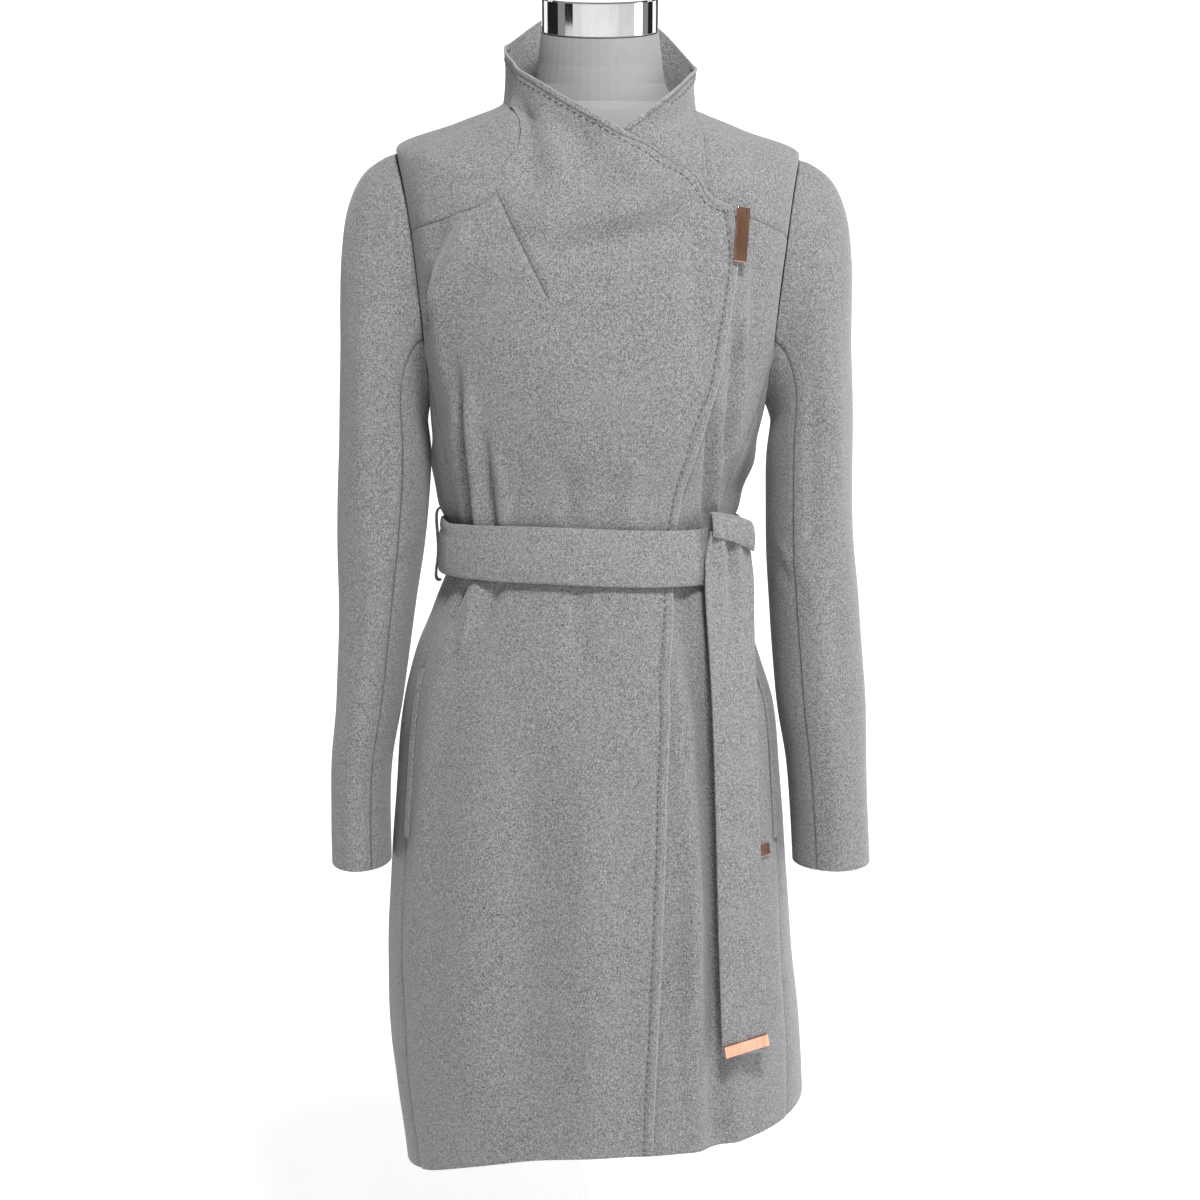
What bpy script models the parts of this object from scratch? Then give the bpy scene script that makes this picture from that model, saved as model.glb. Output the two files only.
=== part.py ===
"""Belted wrap coat on a limbless dress form with a pole and a round base.

Metres, +Z up. The coat's front faces -Y and its wearer's right side is at -X.
The origin is on the floor, in the middle of the base.

One surface, body_point(turn, rise), carries every cloth panel. turn is the angle round the body in
degrees (0 front, 90 wearer's left, 180 back) and rise is the height of that line at centre front.
A panel is a grid between four seams drawn in turn and rise, so neighbours share the seam's points.
"""
import math

import bmesh
import bpy
import numpy as np
from mathutils import Matrix, Vector

# ---------------------------------------------------------------- driving dimensions
WALL = 0.0022            # coat cloth
SEAM_GAP = 0.0004        # between neighbouring panels
FOLD_GAP = 0.0012        # at the neck, where the cloth turns at its seam and the walls would meet
OVERLAP_RISE = 0.0055    # right front's middle line above the left front's
BELT_WALL = 0.0026
BELT_WIDTH = 0.054
BELT_HEIGHT = 0.9675     # middle of the belt
BELT_DROP = 0.0035       # the belt sits this much lower at the wearer's left, higher at the right
BELT_RISE = 0.0060       # belt's middle line above one layer of coat
ARM_TURN = 23.0          # half the armhole's width, degrees
ARM_MIDDLE = 1.190       # rise of the armhole's middle
ARM_HALF = 0.095         # half the armhole's height in rise
ARM_STEPS = 24           # points round an armhole
YOKE_STEP = 5            # armhole point where the yoke seam ends
SEAM_STEP = 9            # armhole point where the side-front seam ends
TORSO_BOTTOM = 0.715
POLE_RADIUS = 0.014
BASE_RADIUS = 0.170
BASE_HEIGHT = 0.014
CAP_RADIUS = 0.0535
CAP_HEIGHT = 0.031
CAP_TILT = math.radians(15)
REST_GAP = 0.0003        # between hard pieces that rest on each other

# Rings round the coat. right and left are half-widths, front and back are depths, z_* the ring's height
# at each side; power squares the section (2 is an ellipse).
RING_COLUMNS = ("rise", "right", "left", "front", "back", "z_right", "z_left", "z_back", "power")
RINGS = (
    (0.418, 0.1870, 0.1960, 0.160, 0.155, 0.378, 0.444, 0.400, 2.30),   # hem
    (0.500, 0.1990, 0.1925, 0.157, 0.150, 0.490, 0.507, 0.496, 2.30),
    (0.580, 0.2010, 0.1850, 0.152, 0.145, 0.580, 0.582, 0.580, 2.30),
    (0.670, 0.1960, 0.1780, 0.145, 0.142, 0.670, 0.670, 0.670, 2.30),   # thigh
    (0.760, 0.1890, 0.1718, 0.135, 0.138, 0.760, 0.760, 0.760, 2.25),   # hip
    (0.820, 0.1830, 0.1655, 0.127, 0.130, 0.820, 0.820, 0.820, 2.25),
    (0.870, 0.1730, 0.1500, 0.118, 0.120, 0.870, 0.870, 0.870, 2.20),
    (0.915, 0.1565, 0.1350, 0.110, 0.107, 0.915, 0.915, 0.915, 2.20),
    (0.968, 0.1405, 0.1215, 0.104, 0.098, 0.968, 0.968, 0.968, 2.20),   # waist
    (1.020, 0.1490, 0.1280, 0.108, 0.100, 1.020, 1.020, 1.020, 2.20),
    (1.060, 0.1560, 0.1440, 0.117, 0.104, 1.062, 1.062, 1.060, 2.25),
    (1.100, 0.1600, 0.1560, 0.124, 0.108, 1.108, 1.108, 1.104, 2.30),   # underarm
    (1.150, 0.1720, 0.1700, 0.126, 0.111, 1.175, 1.172, 1.165, 2.40),   # bust
    (1.220, 0.1830, 0.1820, 0.122, 0.107, 1.272, 1.266, 1.250, 2.50),
    (1.285, 0.1890, 0.1850, 0.110, 0.095, 1.338, 1.332, 1.330, 2.50),   # shoulder tip
    (1.325, 0.1280, 0.1280, 0.100, 0.078, 1.364, 1.358, 1.374, 2.30),
    (1.345, 0.0890, 0.0880, 0.098, 0.070, 1.382, 1.376, 1.392, 2.15),   # neck line
    (1.385, 0.0870, 0.0865, 0.100, 0.075, 1.410, 1.397, 1.440, 2.10),
    (1.418, 0.0890, 0.0900, 0.103, 0.085, 1.437, 1.417, 1.489, 2.10),   # collar's top

)

# Lines on the front as they look from the front: x, z.
LAPEL_EDGE = (           # collar's top edge, from the side of the neck down to the lapel's corner
    (-0.0850, 1.4320), (-0.0740, 1.4090), (-0.0560, 1.3955), (-0.0300, 1.3775), (-0.0050, 1.3625),
    (0.0170, 1.3485), (0.0365, 1.3370), (0.0675, 1.3130), (0.0965, 1.2885), (0.1160, 1.2785),
)
FRONT_EDGE = (           # free front edge, from the lapel's corner down to the hem
    (0.1160, 1.2785), (0.1205, 1.2280), (0.1145, 1.1860), (0.1095, 1.1580), (0.1035, 1.1210),
    (0.0870, 1.0770), (0.0740, 1.0300), (0.0665, 0.9900), (0.0640, 0.9380), (0.0615, 0.8400),
    (0.0575, 0.6760), (0.0525, 0.5500), (0.0490, 0.4850), (0.0470, 0.4330),
)
UNDER_COLLAR_EDGE = (    # the left front's collar is lower at its side, and ends under the right front
    (0.0890, 1.4150), (0.0840, 1.4060), (0.0740, 1.3940), (0.0590, 1.3800), (0.0285, 1.3560),
    (0.0050, 1.3420), (-0.0300, 1.3230), (-0.0650, 1.3030), (-0.0760, 1.2960),
)
UNDER_EDGE = (           # the left front's free edge, hidden by the right front
    (-0.0760, 1.2960), (-0.0800, 1.2400), (-0.0790, 1.1800), (-0.0760, 1.1200), (-0.0700, 1.0400),
    (-0.0640, 0.9680), (-0.0620, 0.8700), (-0.0600, 0.7400), (-0.0560, 0.6000), (-0.0520, 0.4300),
)
YOKE_SEAM = ((0.1450, 1.2660), (0.1290, 1.2715), (0.1055, 1.2785), (0.0876, 1.2875))   # mirrored
# Where a front's collar leaves its yoke, up to the side of the neck: turn, rise.
CREASE_RIGHT = ((-23.5, 1.2960), (-27.0, 1.3180), (-42.0, 1.3360), (-64.0, 1.3430))
CREASE_LEFT = ((27.0, 1.2960), (38.0, 1.3180), (56.0, 1.3350), (74.0, 1.3425))
SIDE_SEAM = (            # side-front seam: rise, turn
    (0.418, 62.0), (0.520, 64.0), (0.700, 68.0), (0.835, 70.0), (0.920, 67.0), (1.043, 63.0),
)
BACK_SEAM_TURN = 112.0
# Rise of the panels' grid rows from the hem up; two of them lie at the belt's edges.
SEAM_RISES = (0.418, 0.500, 0.580, 0.660, 0.740, 0.805, 0.850, 0.895, 0.9405, 0.9945, 1.043)

# Broad folds: start and end in turn and rise, depth (minus goes in) and half-width in degrees.
FOLD_COLUMNS = ("turn_0", "rise_0", "turn_1", "rise_1", "depth", "width")
FOLDS = (
    (34.0, 0.90, 33.0, 0.43, -0.010, 5.0),      # deep fold beside the belt's tail
    (24.0, 0.90, 25.0, 0.43, 0.004, 4.0),       # rib beside it
    (-30.0, 1.20, 20.0, 1.30, 0.004, 8.0),      # drape across the chest
    (-52.0, 0.93, -58.0, 0.62, 0.003, 6.0),     # hip
    (150.0, 0.92, 156.0, 0.43, -0.005, 8.0),    # back skirt
    (-150.0, 0.92, -158.0, 0.43, -0.006, 8.0),
)

# Sleeve rings: height, centre x (outwards), centre y, half-width, half-depth, rise of the outer side.
SLEEVE_COLUMNS = ("z", "x", "y", "wide", "deep", "tilt")
SLEEVE_RIGHT = (
    (1.120, 0.2035, 0.002, 0.0395, 0.0700, 0.036),
    (1.053, 0.2030, 0.000, 0.0425, 0.0660, 0.008),
    (1.004, 0.2060, -0.002, 0.0420, 0.0630, 0.000),
    (0.925, 0.2110, -0.006, 0.0360, 0.0600, 0.000),
    (0.834, 0.2180, -0.014, 0.0305, 0.0570, 0.000),
    (0.745, 0.2275, -0.024, 0.0270, 0.0540, 0.000),
    (0.672, 0.2265, -0.032, 0.0265, 0.0530, 0.000),
)
SLEEVE_LEFT = (
    (1.120, 0.1990, 0.002, 0.0365, 0.0690, 0.036),
    (1.053, 0.1985, 0.000, 0.0395, 0.0650, 0.008),
    (1.004, 0.1985, -0.002, 0.0395, 0.0620, 0.000),
    (0.925, 0.2030, -0.006, 0.0415, 0.0590, 0.000),
    (0.834, 0.2100, -0.014, 0.0415, 0.0560, 0.000),
    (0.745, 0.2165, -0.024, 0.0360, 0.0530, 0.000),
    (0.672, 0.2200, -0.032, 0.0355, 0.0520, 0.000),
)
SLEEVE_FRONT_SEAM = 125.0    # degrees from the outer side, round the front
SLEEVE_BACK_SEAM = 235.0

# Belt tail, a strip seen from the front: z, left edge x and y, right edge x and y.
TAIL_COLUMNS = ("z", "x_left", "y_left", "x_right", "y_right")
TAIL = (
    (0.9900, 0.1010, -0.0900, 0.1340, -0.0724),
    (0.9650, 0.0960, -0.0920, 0.1395, -0.0700),
    (0.9380, 0.0955, -0.0960, 0.1419, -0.0740),
    (0.9000, 0.0975, -0.1020, 0.1420, -0.0800),
    (0.8385, 0.1014, -0.1160, 0.1430, -0.0960),
    (0.7485, 0.1050, -0.1290, 0.1439, -0.1110),
    (0.6308, 0.1079, -0.1400, 0.1478, -0.1230),
    (0.5166, 0.1110, -0.1470, 0.1538, -0.1310),
)


# ---------------------------------------------------------------- helpers: curves
def column(table, columns, name):
    index = columns.index(name)
    return np.array([row[index] for row in table])


def slopes(x, y):
    """Slopes of a curve through the points that never overshoots between them."""
    step = np.diff(x)
    rate = np.diff(y) / step
    out = np.empty_like(y)
    out[0], out[-1] = rate[0], rate[-1]
    for i in range(1, len(y) - 1):
        if rate[i - 1] * rate[i] <= 0:
            out[i] = 0.0
            continue
        first, second = 2 * step[i] + step[i - 1], step[i] + 2 * step[i - 1]
        out[i] = (first + second) / (first / rate[i - 1] + second / rate[i])
    return out


class Curve:
    """A smooth curve y(x) through a table's points."""

    def __init__(self, x, y):
        order = np.argsort(x)
        self.x = np.asarray(x, float)[order]
        self.y = np.asarray(y, float)[order]
        self.slope = slopes(self.x, self.y)

    def __call__(self, value):
        value = min(max(value, self.x[0]), self.x[-1])
        i = min(int(np.searchsorted(self.x, value, side="right")) - 1, len(self.x) - 2)
        step = self.x[i + 1] - self.x[i]
        t = (value - self.x[i]) / step
        low = (1 + 2 * t) * (1 - t) ** 2 * self.y[i] + t * (1 - t) ** 2 * step * self.slope[i]
        high = t * t * (3 - 2 * t) * self.y[i + 1] + t * t * (t - 1) * step * self.slope[i + 1]
        return low + high


def smoothstep(low, high, value):
    t = min(max((value - low) / (high - low), 0.0), 1.0)
    return t * t * (3 - 2 * t)


def signed_power(value, power):
    return math.copysign(abs(value) ** power, value)


def resample(points, count):
    """count + 1 points spaced evenly along a smooth line through the given points."""
    points = np.array(points, float)
    length = np.concatenate([[0], np.cumsum(np.linalg.norm(np.diff(points, axis=0) * (0.003, 1), axis=1))])
    lines = [Curve(length, points[:, i]) for i in range(2)]
    return [(lines[0](s), lines[1](s)) for s in np.linspace(0, length[-1], count + 1)]


# ---------------------------------------------------------------- helpers: the body's surface
RING_RISE = column(RINGS, RING_COLUMNS, "rise")
RING = {name: Curve(RING_RISE, column(RINGS, RING_COLUMNS, name)) for name in RING_COLUMNS[1:]}


def body_surface(turn, rise):
    angle = math.radians(turn)
    side, ahead = math.sin(angle), math.cos(angle)
    exponent = 2 / RING["power"](rise)
    width = RING["left" if side > 0 else "right"](rise)
    depth = RING["front" if ahead > 0 else "back"](rise)
    z_side = RING["z_left" if side > 0 else "z_right"](rise)
    z_end = rise if ahead > 0 else RING["z_back"](rise)
    return Vector((width * signed_power(side, exponent), -depth * signed_power(ahead, exponent),
                   z_end * ahead ** 2 + z_side * side ** 2))


def body_normal(turn, rise):
    across = body_surface(turn + 1, rise) - body_surface(turn - 1, rise)
    up = body_surface(turn, rise + 0.004) - body_surface(turn, rise - 0.004)
    return across.cross(up).normalized()


def turn_gap(turn, other):
    return (turn - other + 180) % 360 - 180


def fold_depth(turn, rise):
    """Sum of the broad folds at a place."""
    total = 0.0
    for turn_0, rise_0, turn_1, rise_1, depth, width in FOLDS:
        along = (rise - rise_0) / (rise_1 - rise_0)
        ends = smoothstep(-0.15, 0.2, along) * smoothstep(1.35, 0.9, along)
        off = turn_gap(turn, turn_0 + (turn_1 - turn_0) * along) / width
        total += depth * ends * math.exp(-off * off)
    return total


def body_point(turn, rise, out=0.0):
    normal = body_normal(turn, rise)
    return body_surface(turn, rise) + normal * (out + fold_depth(turn, rise))


def locate(x, z):
    """Turn and rise of the front point that is seen at x, z."""
    turn, rise = 0.0, z
    for _ in range(60):
        width = RING["left" if x > 0 else "right"](rise)
        ratio = min(abs(x) / width, 0.999)
        turn = math.degrees(math.copysign(math.asin(ratio ** (RING["power"](rise) / 2)), x))
        rise += 0.7 * (z - body_surface(turn, rise).z)
    return turn, rise


def seen_line(points, mirror=1):
    return [locate(mirror * x, z) for x, z in points]


# ---------------------------------------------------------------- helpers: grids and solids
def material(name, colour, roughness, metallic=0.0):
    found = bpy.data.materials.get(name)
    if found:
        return found
    made = bpy.data.materials.new(name)
    made.use_nodes = True
    shader = made.node_tree.nodes["Principled BSDF"]
    shader.inputs["Base Color"].default_value = (*colour, 1)
    shader.inputs["Roughness"].default_value = roughness
    shader.inputs["Metallic"].default_value = metallic
    made.diffuse_color = (*colour, 1)
    return made


WOOL = ("wool", (0.30, 0.30, 0.31), 0.9)
BELT_WOOL = ("belt_wool", (0.34, 0.345, 0.35), 0.9)
FORM_CLOTH = ("form_cloth", (0.62, 0.61, 0.59), 0.85)
CHROME = ("chrome", (0.85, 0.85, 0.86), 0.08, 1.0)
ROSE_METAL = ("rose_metal", (0.80, 0.45, 0.33), 0.22, 1.0)

COAT = bpy.data.collections.new("wrap_coat")


def add_mesh(name, vertices, faces, finish):
    mesh = bpy.data.meshes.new(name)
    mesh.from_pydata([tuple(v) for v in vertices], [], faces)
    mesh.validate()
    return add_object(name, mesh, finish)


def add_object(name, mesh, finish):
    made = bpy.data.objects.new(name, mesh)
    COAT.objects.link(made)
    mesh.materials.clear()
    mesh.materials.append(material(*finish))
    mesh.shade_smooth()
    return made


def thicken(made, wall):
    """Turn an open sheet into a wall, half to each side."""
    solid = made.modifiers.new("wall", "SOLIDIFY")
    solid.thickness = wall
    solid.offset = 0.0
    solid.use_even_offset = False
    return made


def sheet(name, rows, finish, wall=WALL, closed=False):
    """A cloth wall on a grid of points: rows of equal length, joined round when closed."""
    return sheet_of_grids(name, [rows], finish, wall, closed)


def sheet_of_grids(name, grids, finish, wall=WALL, closed=False):
    """A cloth wall on grids of points that share a border."""
    vertices, faces = [], []
    for rows in grids:
        first, count = len(vertices), len(rows[0])
        vertices += [point for row in rows for point in row]
        for j in range(len(rows) - 1):
            for i in range(count if closed else count - 1):
                k = (i + 1) % count
                low, high = first + j * count, first + (j + 1) * count
                faces.append((low + i, low + k, high + k, high + i))
    made = add_mesh(name, vertices, faces, finish)
    joined = bmesh.new()
    joined.from_mesh(made.data)
    bmesh.ops.remove_doubles(joined, verts=joined.verts, dist=0.00001)
    joined.to_mesh(made.data)
    joined.free()
    return thicken(made, wall)


def loft(name, rings, finish):
    """A closed solid through rings of equal length, with flat ends."""
    count = len(rings[0])
    faces = [tuple(range(count))[::-1]]
    for j in range(len(rings) - 1):
        for i in range(count):
            k = (i + 1) % count
            faces.append((j * count + i, j * count + k, (j + 1) * count + k, (j + 1) * count + i))
    last = (len(rings) - 1) * count
    faces.append(tuple(range(last, last + count)))
    made = add_mesh(name, [p for ring in rings for p in ring], faces, finish)
    made.data.set_sharp_from_angle(angle=math.radians(40))
    return made


def between(left, right, bottom, top, share=None):
    """Grid of turn and rise between four seams: left and right run up, bottom and top run across.

    share is how far up each row is, from 0 to 1; evenly spaced when left out.
    """
    left, right = np.array(left), np.array(right)
    bottom, top = np.array(bottom), np.array(top)
    rows, cols = len(left) - 1, len(bottom) - 1
    grid = []
    for j in range(rows + 1):
        v = share[j] if share else j / rows
        row = []
        for i in range(cols + 1):
            u = i / cols
            sides = (1 - u) * left[j] + u * right[j]
            ends = (1 - v) * bottom[i] + v * top[i]
            corners = ((1 - u) * (1 - v) * left[0] + u * (1 - v) * right[0]
                       + (1 - u) * v * left[-1] + u * v * right[-1])
            row.append(sides + ends - corners)
        grid.append(row)
    return grid


def pull_in(points, gap):
    """Draw a grid's border in along the grid's own lines."""
    last, end = len(points) - 1, len(points[0]) - 1
    out = [[point.copy() for point in row] for row in points]
    for j, row in enumerate(points):
        out[j][0] += (row[1] - row[0]).normalized() * gap
        out[j][end] += (row[end - 1] - row[end]).normalized() * gap
    for i in range(end + 1):
        out[0][i] += (points[1][i] - points[0][i]).normalized() * gap
        out[last][i] += (points[last - 1][i] - points[last][i]).normalized() * gap
    return out


def on_body(grid, out=None):
    return [[body_point(turn, rise, out(turn) if out else 0.0) for turn, rise in row] for row in grid]


def panel(name, grid, gap=SEAM_GAP):
    """A panel on the body's surface, drawn in from its neighbours' seams."""
    sheet(name, pull_in(on_body(grid), gap), WOOL)


# ---------------------------------------------------------------- seams, in turn and rise
def hem_line(turn_0, turn_1, count):
    return [(turn_0 + (turn_1 - turn_0) * i / count, RINGS[0][0]) for i in range(count + 1)]


def armhole_point(side, step):
    """Armhole points run from the shoulder down the front, under the arm and up the back."""
    angle = 2 * math.pi * step / ARM_STEPS
    return (side * (90 - ARM_TURN * math.sin(angle)), ARM_MIDDLE + ARM_HALF * math.cos(angle))


def side_front_seam(side):
    turn = Curve([r for r, _ in SIDE_SEAM] + [armhole_point(1, SEAM_STEP)[1]],
                 [t for _, t in SIDE_SEAM] + [armhole_point(1, SEAM_STEP)[0]])
    return [(side * turn(r), r) for r in (*SEAM_RISES, armhole_point(side, SEAM_STEP)[1])]


def side_back_seam(side):
    top = armhole_point(side, ARM_STEPS - SEAM_STEP)
    rises = (*SEAM_RISES, top[1])
    ease = [smoothstep(1.0, top[1], r) for r in rises]
    return [(side * BACK_SEAM_TURN + (top[0] - side * BACK_SEAM_TURN) * e, r) for e, r in zip(ease, rises)]


YOKE_COLS = 6
CHEST_COLS = 9           # from the dart to the front edge
CREASE_ROWS = 8
COLLAR_ROWS = 4
COLLAR_END = 104.0       # turn of the seam between a front's collar and the back collar
NECK_RISE = 1.345
COLLAR_TOP = 1.418
LAPEL_RISE = 1.213       # rise on the front edge where the collar's rows begin
HEM_LIFT = 0.012         # the free corner of a front hangs this much higher
SLEEVE_INSET = 0.972
BACK_COLS = 14
LOOP_HALF = 0.0345
BAR_THICKNESS = 0.0022


def yoke_seam(side):
    start = armhole_point(side, YOKE_STEP)
    return resample([start] + seen_line(YOKE_SEAM, side), YOKE_COLS)


def neck_crease(side):
    start = locate(side * YOKE_SEAM[-1][0], YOKE_SEAM[-1][1])
    crease = CREASE_LEFT if side > 0 else CREASE_RIGHT
    return resample([start, *crease, (side * 90.0, NECK_RISE)], CREASE_ROWS)


def collar_end(side):
    top = (side * COLLAR_END, COLLAR_TOP)
    return [(side * 90.0 + (top[0] - side * 90.0) * k / COLLAR_ROWS,
             NECK_RISE + (COLLAR_TOP - NECK_RISE) * k / COLLAR_ROWS) for k in range(COLLAR_ROWS + 1)]


def front_grids(side, edge, top_edge):
    """Grids of a front: the body up to the yoke seam and lapel, and the collar that is cut on to it."""
    line = seen_line(edge[::-1])
    line[0] = (line[0][0], RINGS[0][0] + HEM_LIFT)
    turns = Curve([rise for _, rise in line], [turn for turn, _ in line])
    outer = side_front_seam(side)
    outer += [armhole_point(side, k) for k in range(SEAM_STEP - 1, YOKE_STEP - 1, -1)]
    share = [(rise - outer[0][1]) / (outer[-1][1] - outer[0][1]) for _, rise in outer]
    climb = LAPEL_RISE - line[0][1]
    free = [(turns(line[0][1] + climb * s), line[0][1] + climb * s) for s in share]
    yoke = yoke_seam(side)
    chest = resample([yoke[-1], free[-1]], CHEST_COLS)
    bottom = resample([outer[0], free[0]], YOKE_COLS + CHEST_COLS)
    body = between(outer, free, bottom, yoke[:-1] + chest, share)
    neck = neck_crease(side)[::-1]
    end = collar_end(side)
    rises = np.linspace(LAPEL_RISE, line[-1][1], len(end))
    corner = [(turns(rise), rise) for rise in rises]
    top = resample([(side * COLLAR_END, COLLAR_TOP), (side * 90.0, COLLAR_TOP)] + seen_line(top_edge),
                   CREASE_ROWS + CHEST_COLS)
    collar = between(end, corner, neck[:-1] + chest, top)
    if side < 0:
        return [body, collar]
    return [[row[::-1] for row in body], [row[::-1] for row in collar]]


def over_left_front(turn):
    """The right front lies on the left front: it rises from its side seam to clear it."""
    return OVERLAP_RISE * smoothstep(-66, -50, turn)


# ---------------------------------------------------------------- the coat's pieces
def make_fronts():
    over = [on_body(grid, over_left_front) for grid in front_grids(-1, FRONT_EDGE, LAPEL_EDGE)]
    sheet_of_grids("right_front", over, WOOL)
    under = [on_body(grid) for grid in front_grids(1, UNDER_EDGE, UNDER_COLLAR_EDGE)]
    sheet_of_grids("left_front", under, WOOL)


def make_sides():
    for name, side in (("side_right", -1), ("side_left", 1)):
        front, back = side_front_seam(side), side_back_seam(side)
        top = [armhole_point(side, k) for k in range(SEAM_STEP, ARM_STEPS - SEAM_STEP + 1)]
        bottom = hem_line(front[0][0], back[0][0], len(top) - 1)
        grid = between(front, back, bottom, top)
        panel(name, grid if side > 0 else [row[::-1] for row in grid])


def make_yokes():
    for name, side in (("yoke_right", -1), ("yoke_left", 1)):
        arm = resample([armhole_point(side, k) for k in range(YOKE_STEP, -1, -1)], CREASE_ROWS)
        shoulder = shoulder_seam(side)
        grid = between(arm, neck_crease(side), yoke_seam(side), shoulder)
        panel(name, grid if side < 0 else [row[::-1] for row in grid], FOLD_GAP)


def shoulder_seam(side):
    tip = ARM_MIDDLE + ARM_HALF
    return [(side * 90.0, tip + (NECK_RISE - tip) * k / YOKE_COLS) for k in range(YOKE_COLS + 1)]


def make_back():
    sides = {}
    for side in (-1, 1):
        line = side_back_seam(side)
        line += [armhole_point(side, k) for k in range(ARM_STEPS - SEAM_STEP + 1, ARM_STEPS + 1)]
        line += shoulder_seam(side)[1:]
        sides[side] = [(t % 360, r) for t, r in line]
    neck = [(90 + 180 * i / BACK_COLS, NECK_RISE) for i in range(BACK_COLS + 1)]
    bottom = hem_line(sides[1][0][0], sides[-1][0][0], BACK_COLS)
    panel("back", between(sides[1], sides[-1], bottom, neck))


def make_collar_back():
    ends = {side: [(t % 360, r) for t, r in collar_end(side)] for side in (-1, 1)}
    count = BACK_COLS
    low = [(90 + 180 * i / count, NECK_RISE) for i in range(count + 1)]
    high = [(COLLAR_END + (360 - 2 * COLLAR_END) * i / count, COLLAR_TOP) for i in range(count + 1)]
    panel("collar_back", between(ends[1], ends[-1], low, high), FOLD_GAP)


def sleeve_rows(table, side, cap_rows=5, low_rows=9):
    """Rings of a sleeve: from the armhole, round the cap, and down to the cuff."""
    z = column(table, SLEEVE_COLUMNS, "z")
    curves = {name: Curve(z, column(table, SLEEVE_COLUMNS, name)) for name in SLEEVE_COLUMNS[1:]}

    def ring_point(angle, height):
        out = math.cos(angle)
        return Vector((side * (curves["x"](height) + curves["wide"](height) * out),
                       curves["y"](height) - curves["deep"](height) * math.sin(angle),
                       height + curves["tilt"](height) * out))

    angles = [2 * math.pi * k / ARM_STEPS for k in range(ARM_STEPS)]
    top = z.max()
    rows = []
    for j in range(cap_rows):
        t = j / cap_rows
        row = []
        for k, angle in enumerate(angles):
            start = armhole_start(side, k)
            end = ring_point(angle, top)
            reach = (end - start).length
            above = (1 + math.cos(angle)) / 2
            leave = Vector((side * (0.5 + 0.5 * above), 0, -0.25)) * reach
            arrive = (ring_point(angle, top - 0.01) - end).normalized() * reach * 1.1
            row.append(start * (1 + 2 * t) * (1 - t) ** 2 + leave * t * (1 - t) ** 2
                       + end * t * t * (3 - 2 * t) + arrive * t * t * (t - 1))
        rows.append(row)
    for height in np.linspace(top, z.min(), low_rows + 1):
        rows.append([ring_point(angle, height) for angle in angles])
    return rows


def armhole_start(side, step):
    """Where the sleeve starts: just inside the armhole's edge, so the two pieces stay apart."""
    turn, rise = armhole_point(side, step)
    turn = side * 90 + (turn - side * 90) * SLEEVE_INSET
    rise = ARM_MIDDLE + (rise - ARM_MIDDLE) * SLEEVE_INSET
    return body_surface(turn, rise)


def make_sleeves():
    for name, side, table in (("sleeve_right", -1, SLEEVE_RIGHT), ("sleeve_left", 1, SLEEVE_LEFT)):
        rows = sleeve_rows(table, side)
        step = 360 / ARM_STEPS
        front, back = round(SLEEVE_FRONT_SEAM / step), round(SLEEVE_BACK_SEAM / step)
        under = list(range(front, back + 1))
        upper = [k % ARM_STEPS for k in range(back, front + ARM_STEPS + 1)]
        for part, steps in (("under", under), ("upper", upper)):
            points = [[row[k].copy() for k in steps] for row in rows]
            if side > 0:
                points = [row[::-1] for row in points]
            sheet(f"{name}_{part}", pull_in(points, SEAM_GAP), WOOL)


# ---------------------------------------------------------------- belt
def belt_out(turn):
    """Height of the belt's middle line above the body: over two fronts, or over one layer."""
    over_front = smoothstep(-78, -62, turn) * smoothstep(48, 34, turn)
    return BELT_RISE + OVERLAP_RISE * over_front


def belt_drop(turn):
    return BELT_DROP * math.sin(math.radians(turn))


def make_belt():
    count = 48
    turns = [-180 + 360 * k / count for k in range(count)]
    rows = []
    for part in (-0.5, 0.5):
        height = BELT_HEIGHT + part * BELT_WIDTH
        rows.append([body_point(turn, height, belt_out(turn)) - Vector((0, 0, belt_drop(turn)))
                     for turn in turns])
    sheet("belt_waist", rows, BELT_WOOL, BELT_WALL, closed=True)


def tail_rows(heights, cols):
    """Rows of the strip: each row runs from the left edge to the right edge at one height."""
    z = column(TAIL, TAIL_COLUMNS, "z")
    edge = {name: Curve(z, column(TAIL, TAIL_COLUMNS, name)) for name in TAIL_COLUMNS[1:]}
    rows = []
    for height in heights:
        left = Vector((edge["x_left"](height), edge["y_left"](height), height))
        right = Vector((edge["x_right"](height), edge["y_right"](height), height))
        rows.append([left.lerp(right, i / cols) for i in range(cols + 1)])
    return rows


def make_tail():
    heights = np.linspace(TAIL[-1][0], TAIL[0][0], 14)
    sheet("belt_tail", tail_rows(heights, 3), BELT_WOOL, BELT_WALL)


KNOT_CENTRE = Vector((0.1181, -0.0758, 0))
KNOT_FACING = math.radians(28)
KNOT_HALF = 0.0205
KNOT_DROP = -0.16        # the fold's slope down towards its outer end
KNOT = (                 # the belt's end, turned over its top edge: distance forward, z
    (-0.0040, 0.9800), (-0.0032, 0.9940), (0.0008, 1.0010), (0.0062, 1.0010), (0.0086, 0.9940),
    (0.0085, 0.9840),
)


def make_knot():
    """The fold over the top of the tail."""
    forward = Vector((math.sin(KNOT_FACING), -math.cos(KNOT_FACING), 0))
    across = Vector((math.cos(KNOT_FACING), math.sin(KNOT_FACING), 0))
    rows = []
    for reach, z in KNOT:
        rows.append([KNOT_CENTRE + forward * reach + across * KNOT_HALF * u
                     + Vector((0, 0, z + KNOT_DROP * KNOT_HALF * u)) for u in (-1, -0.5, 0, 0.5, 1)])
    sheet("belt_knot", rows, BELT_WOOL, BELT_WALL)


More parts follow.
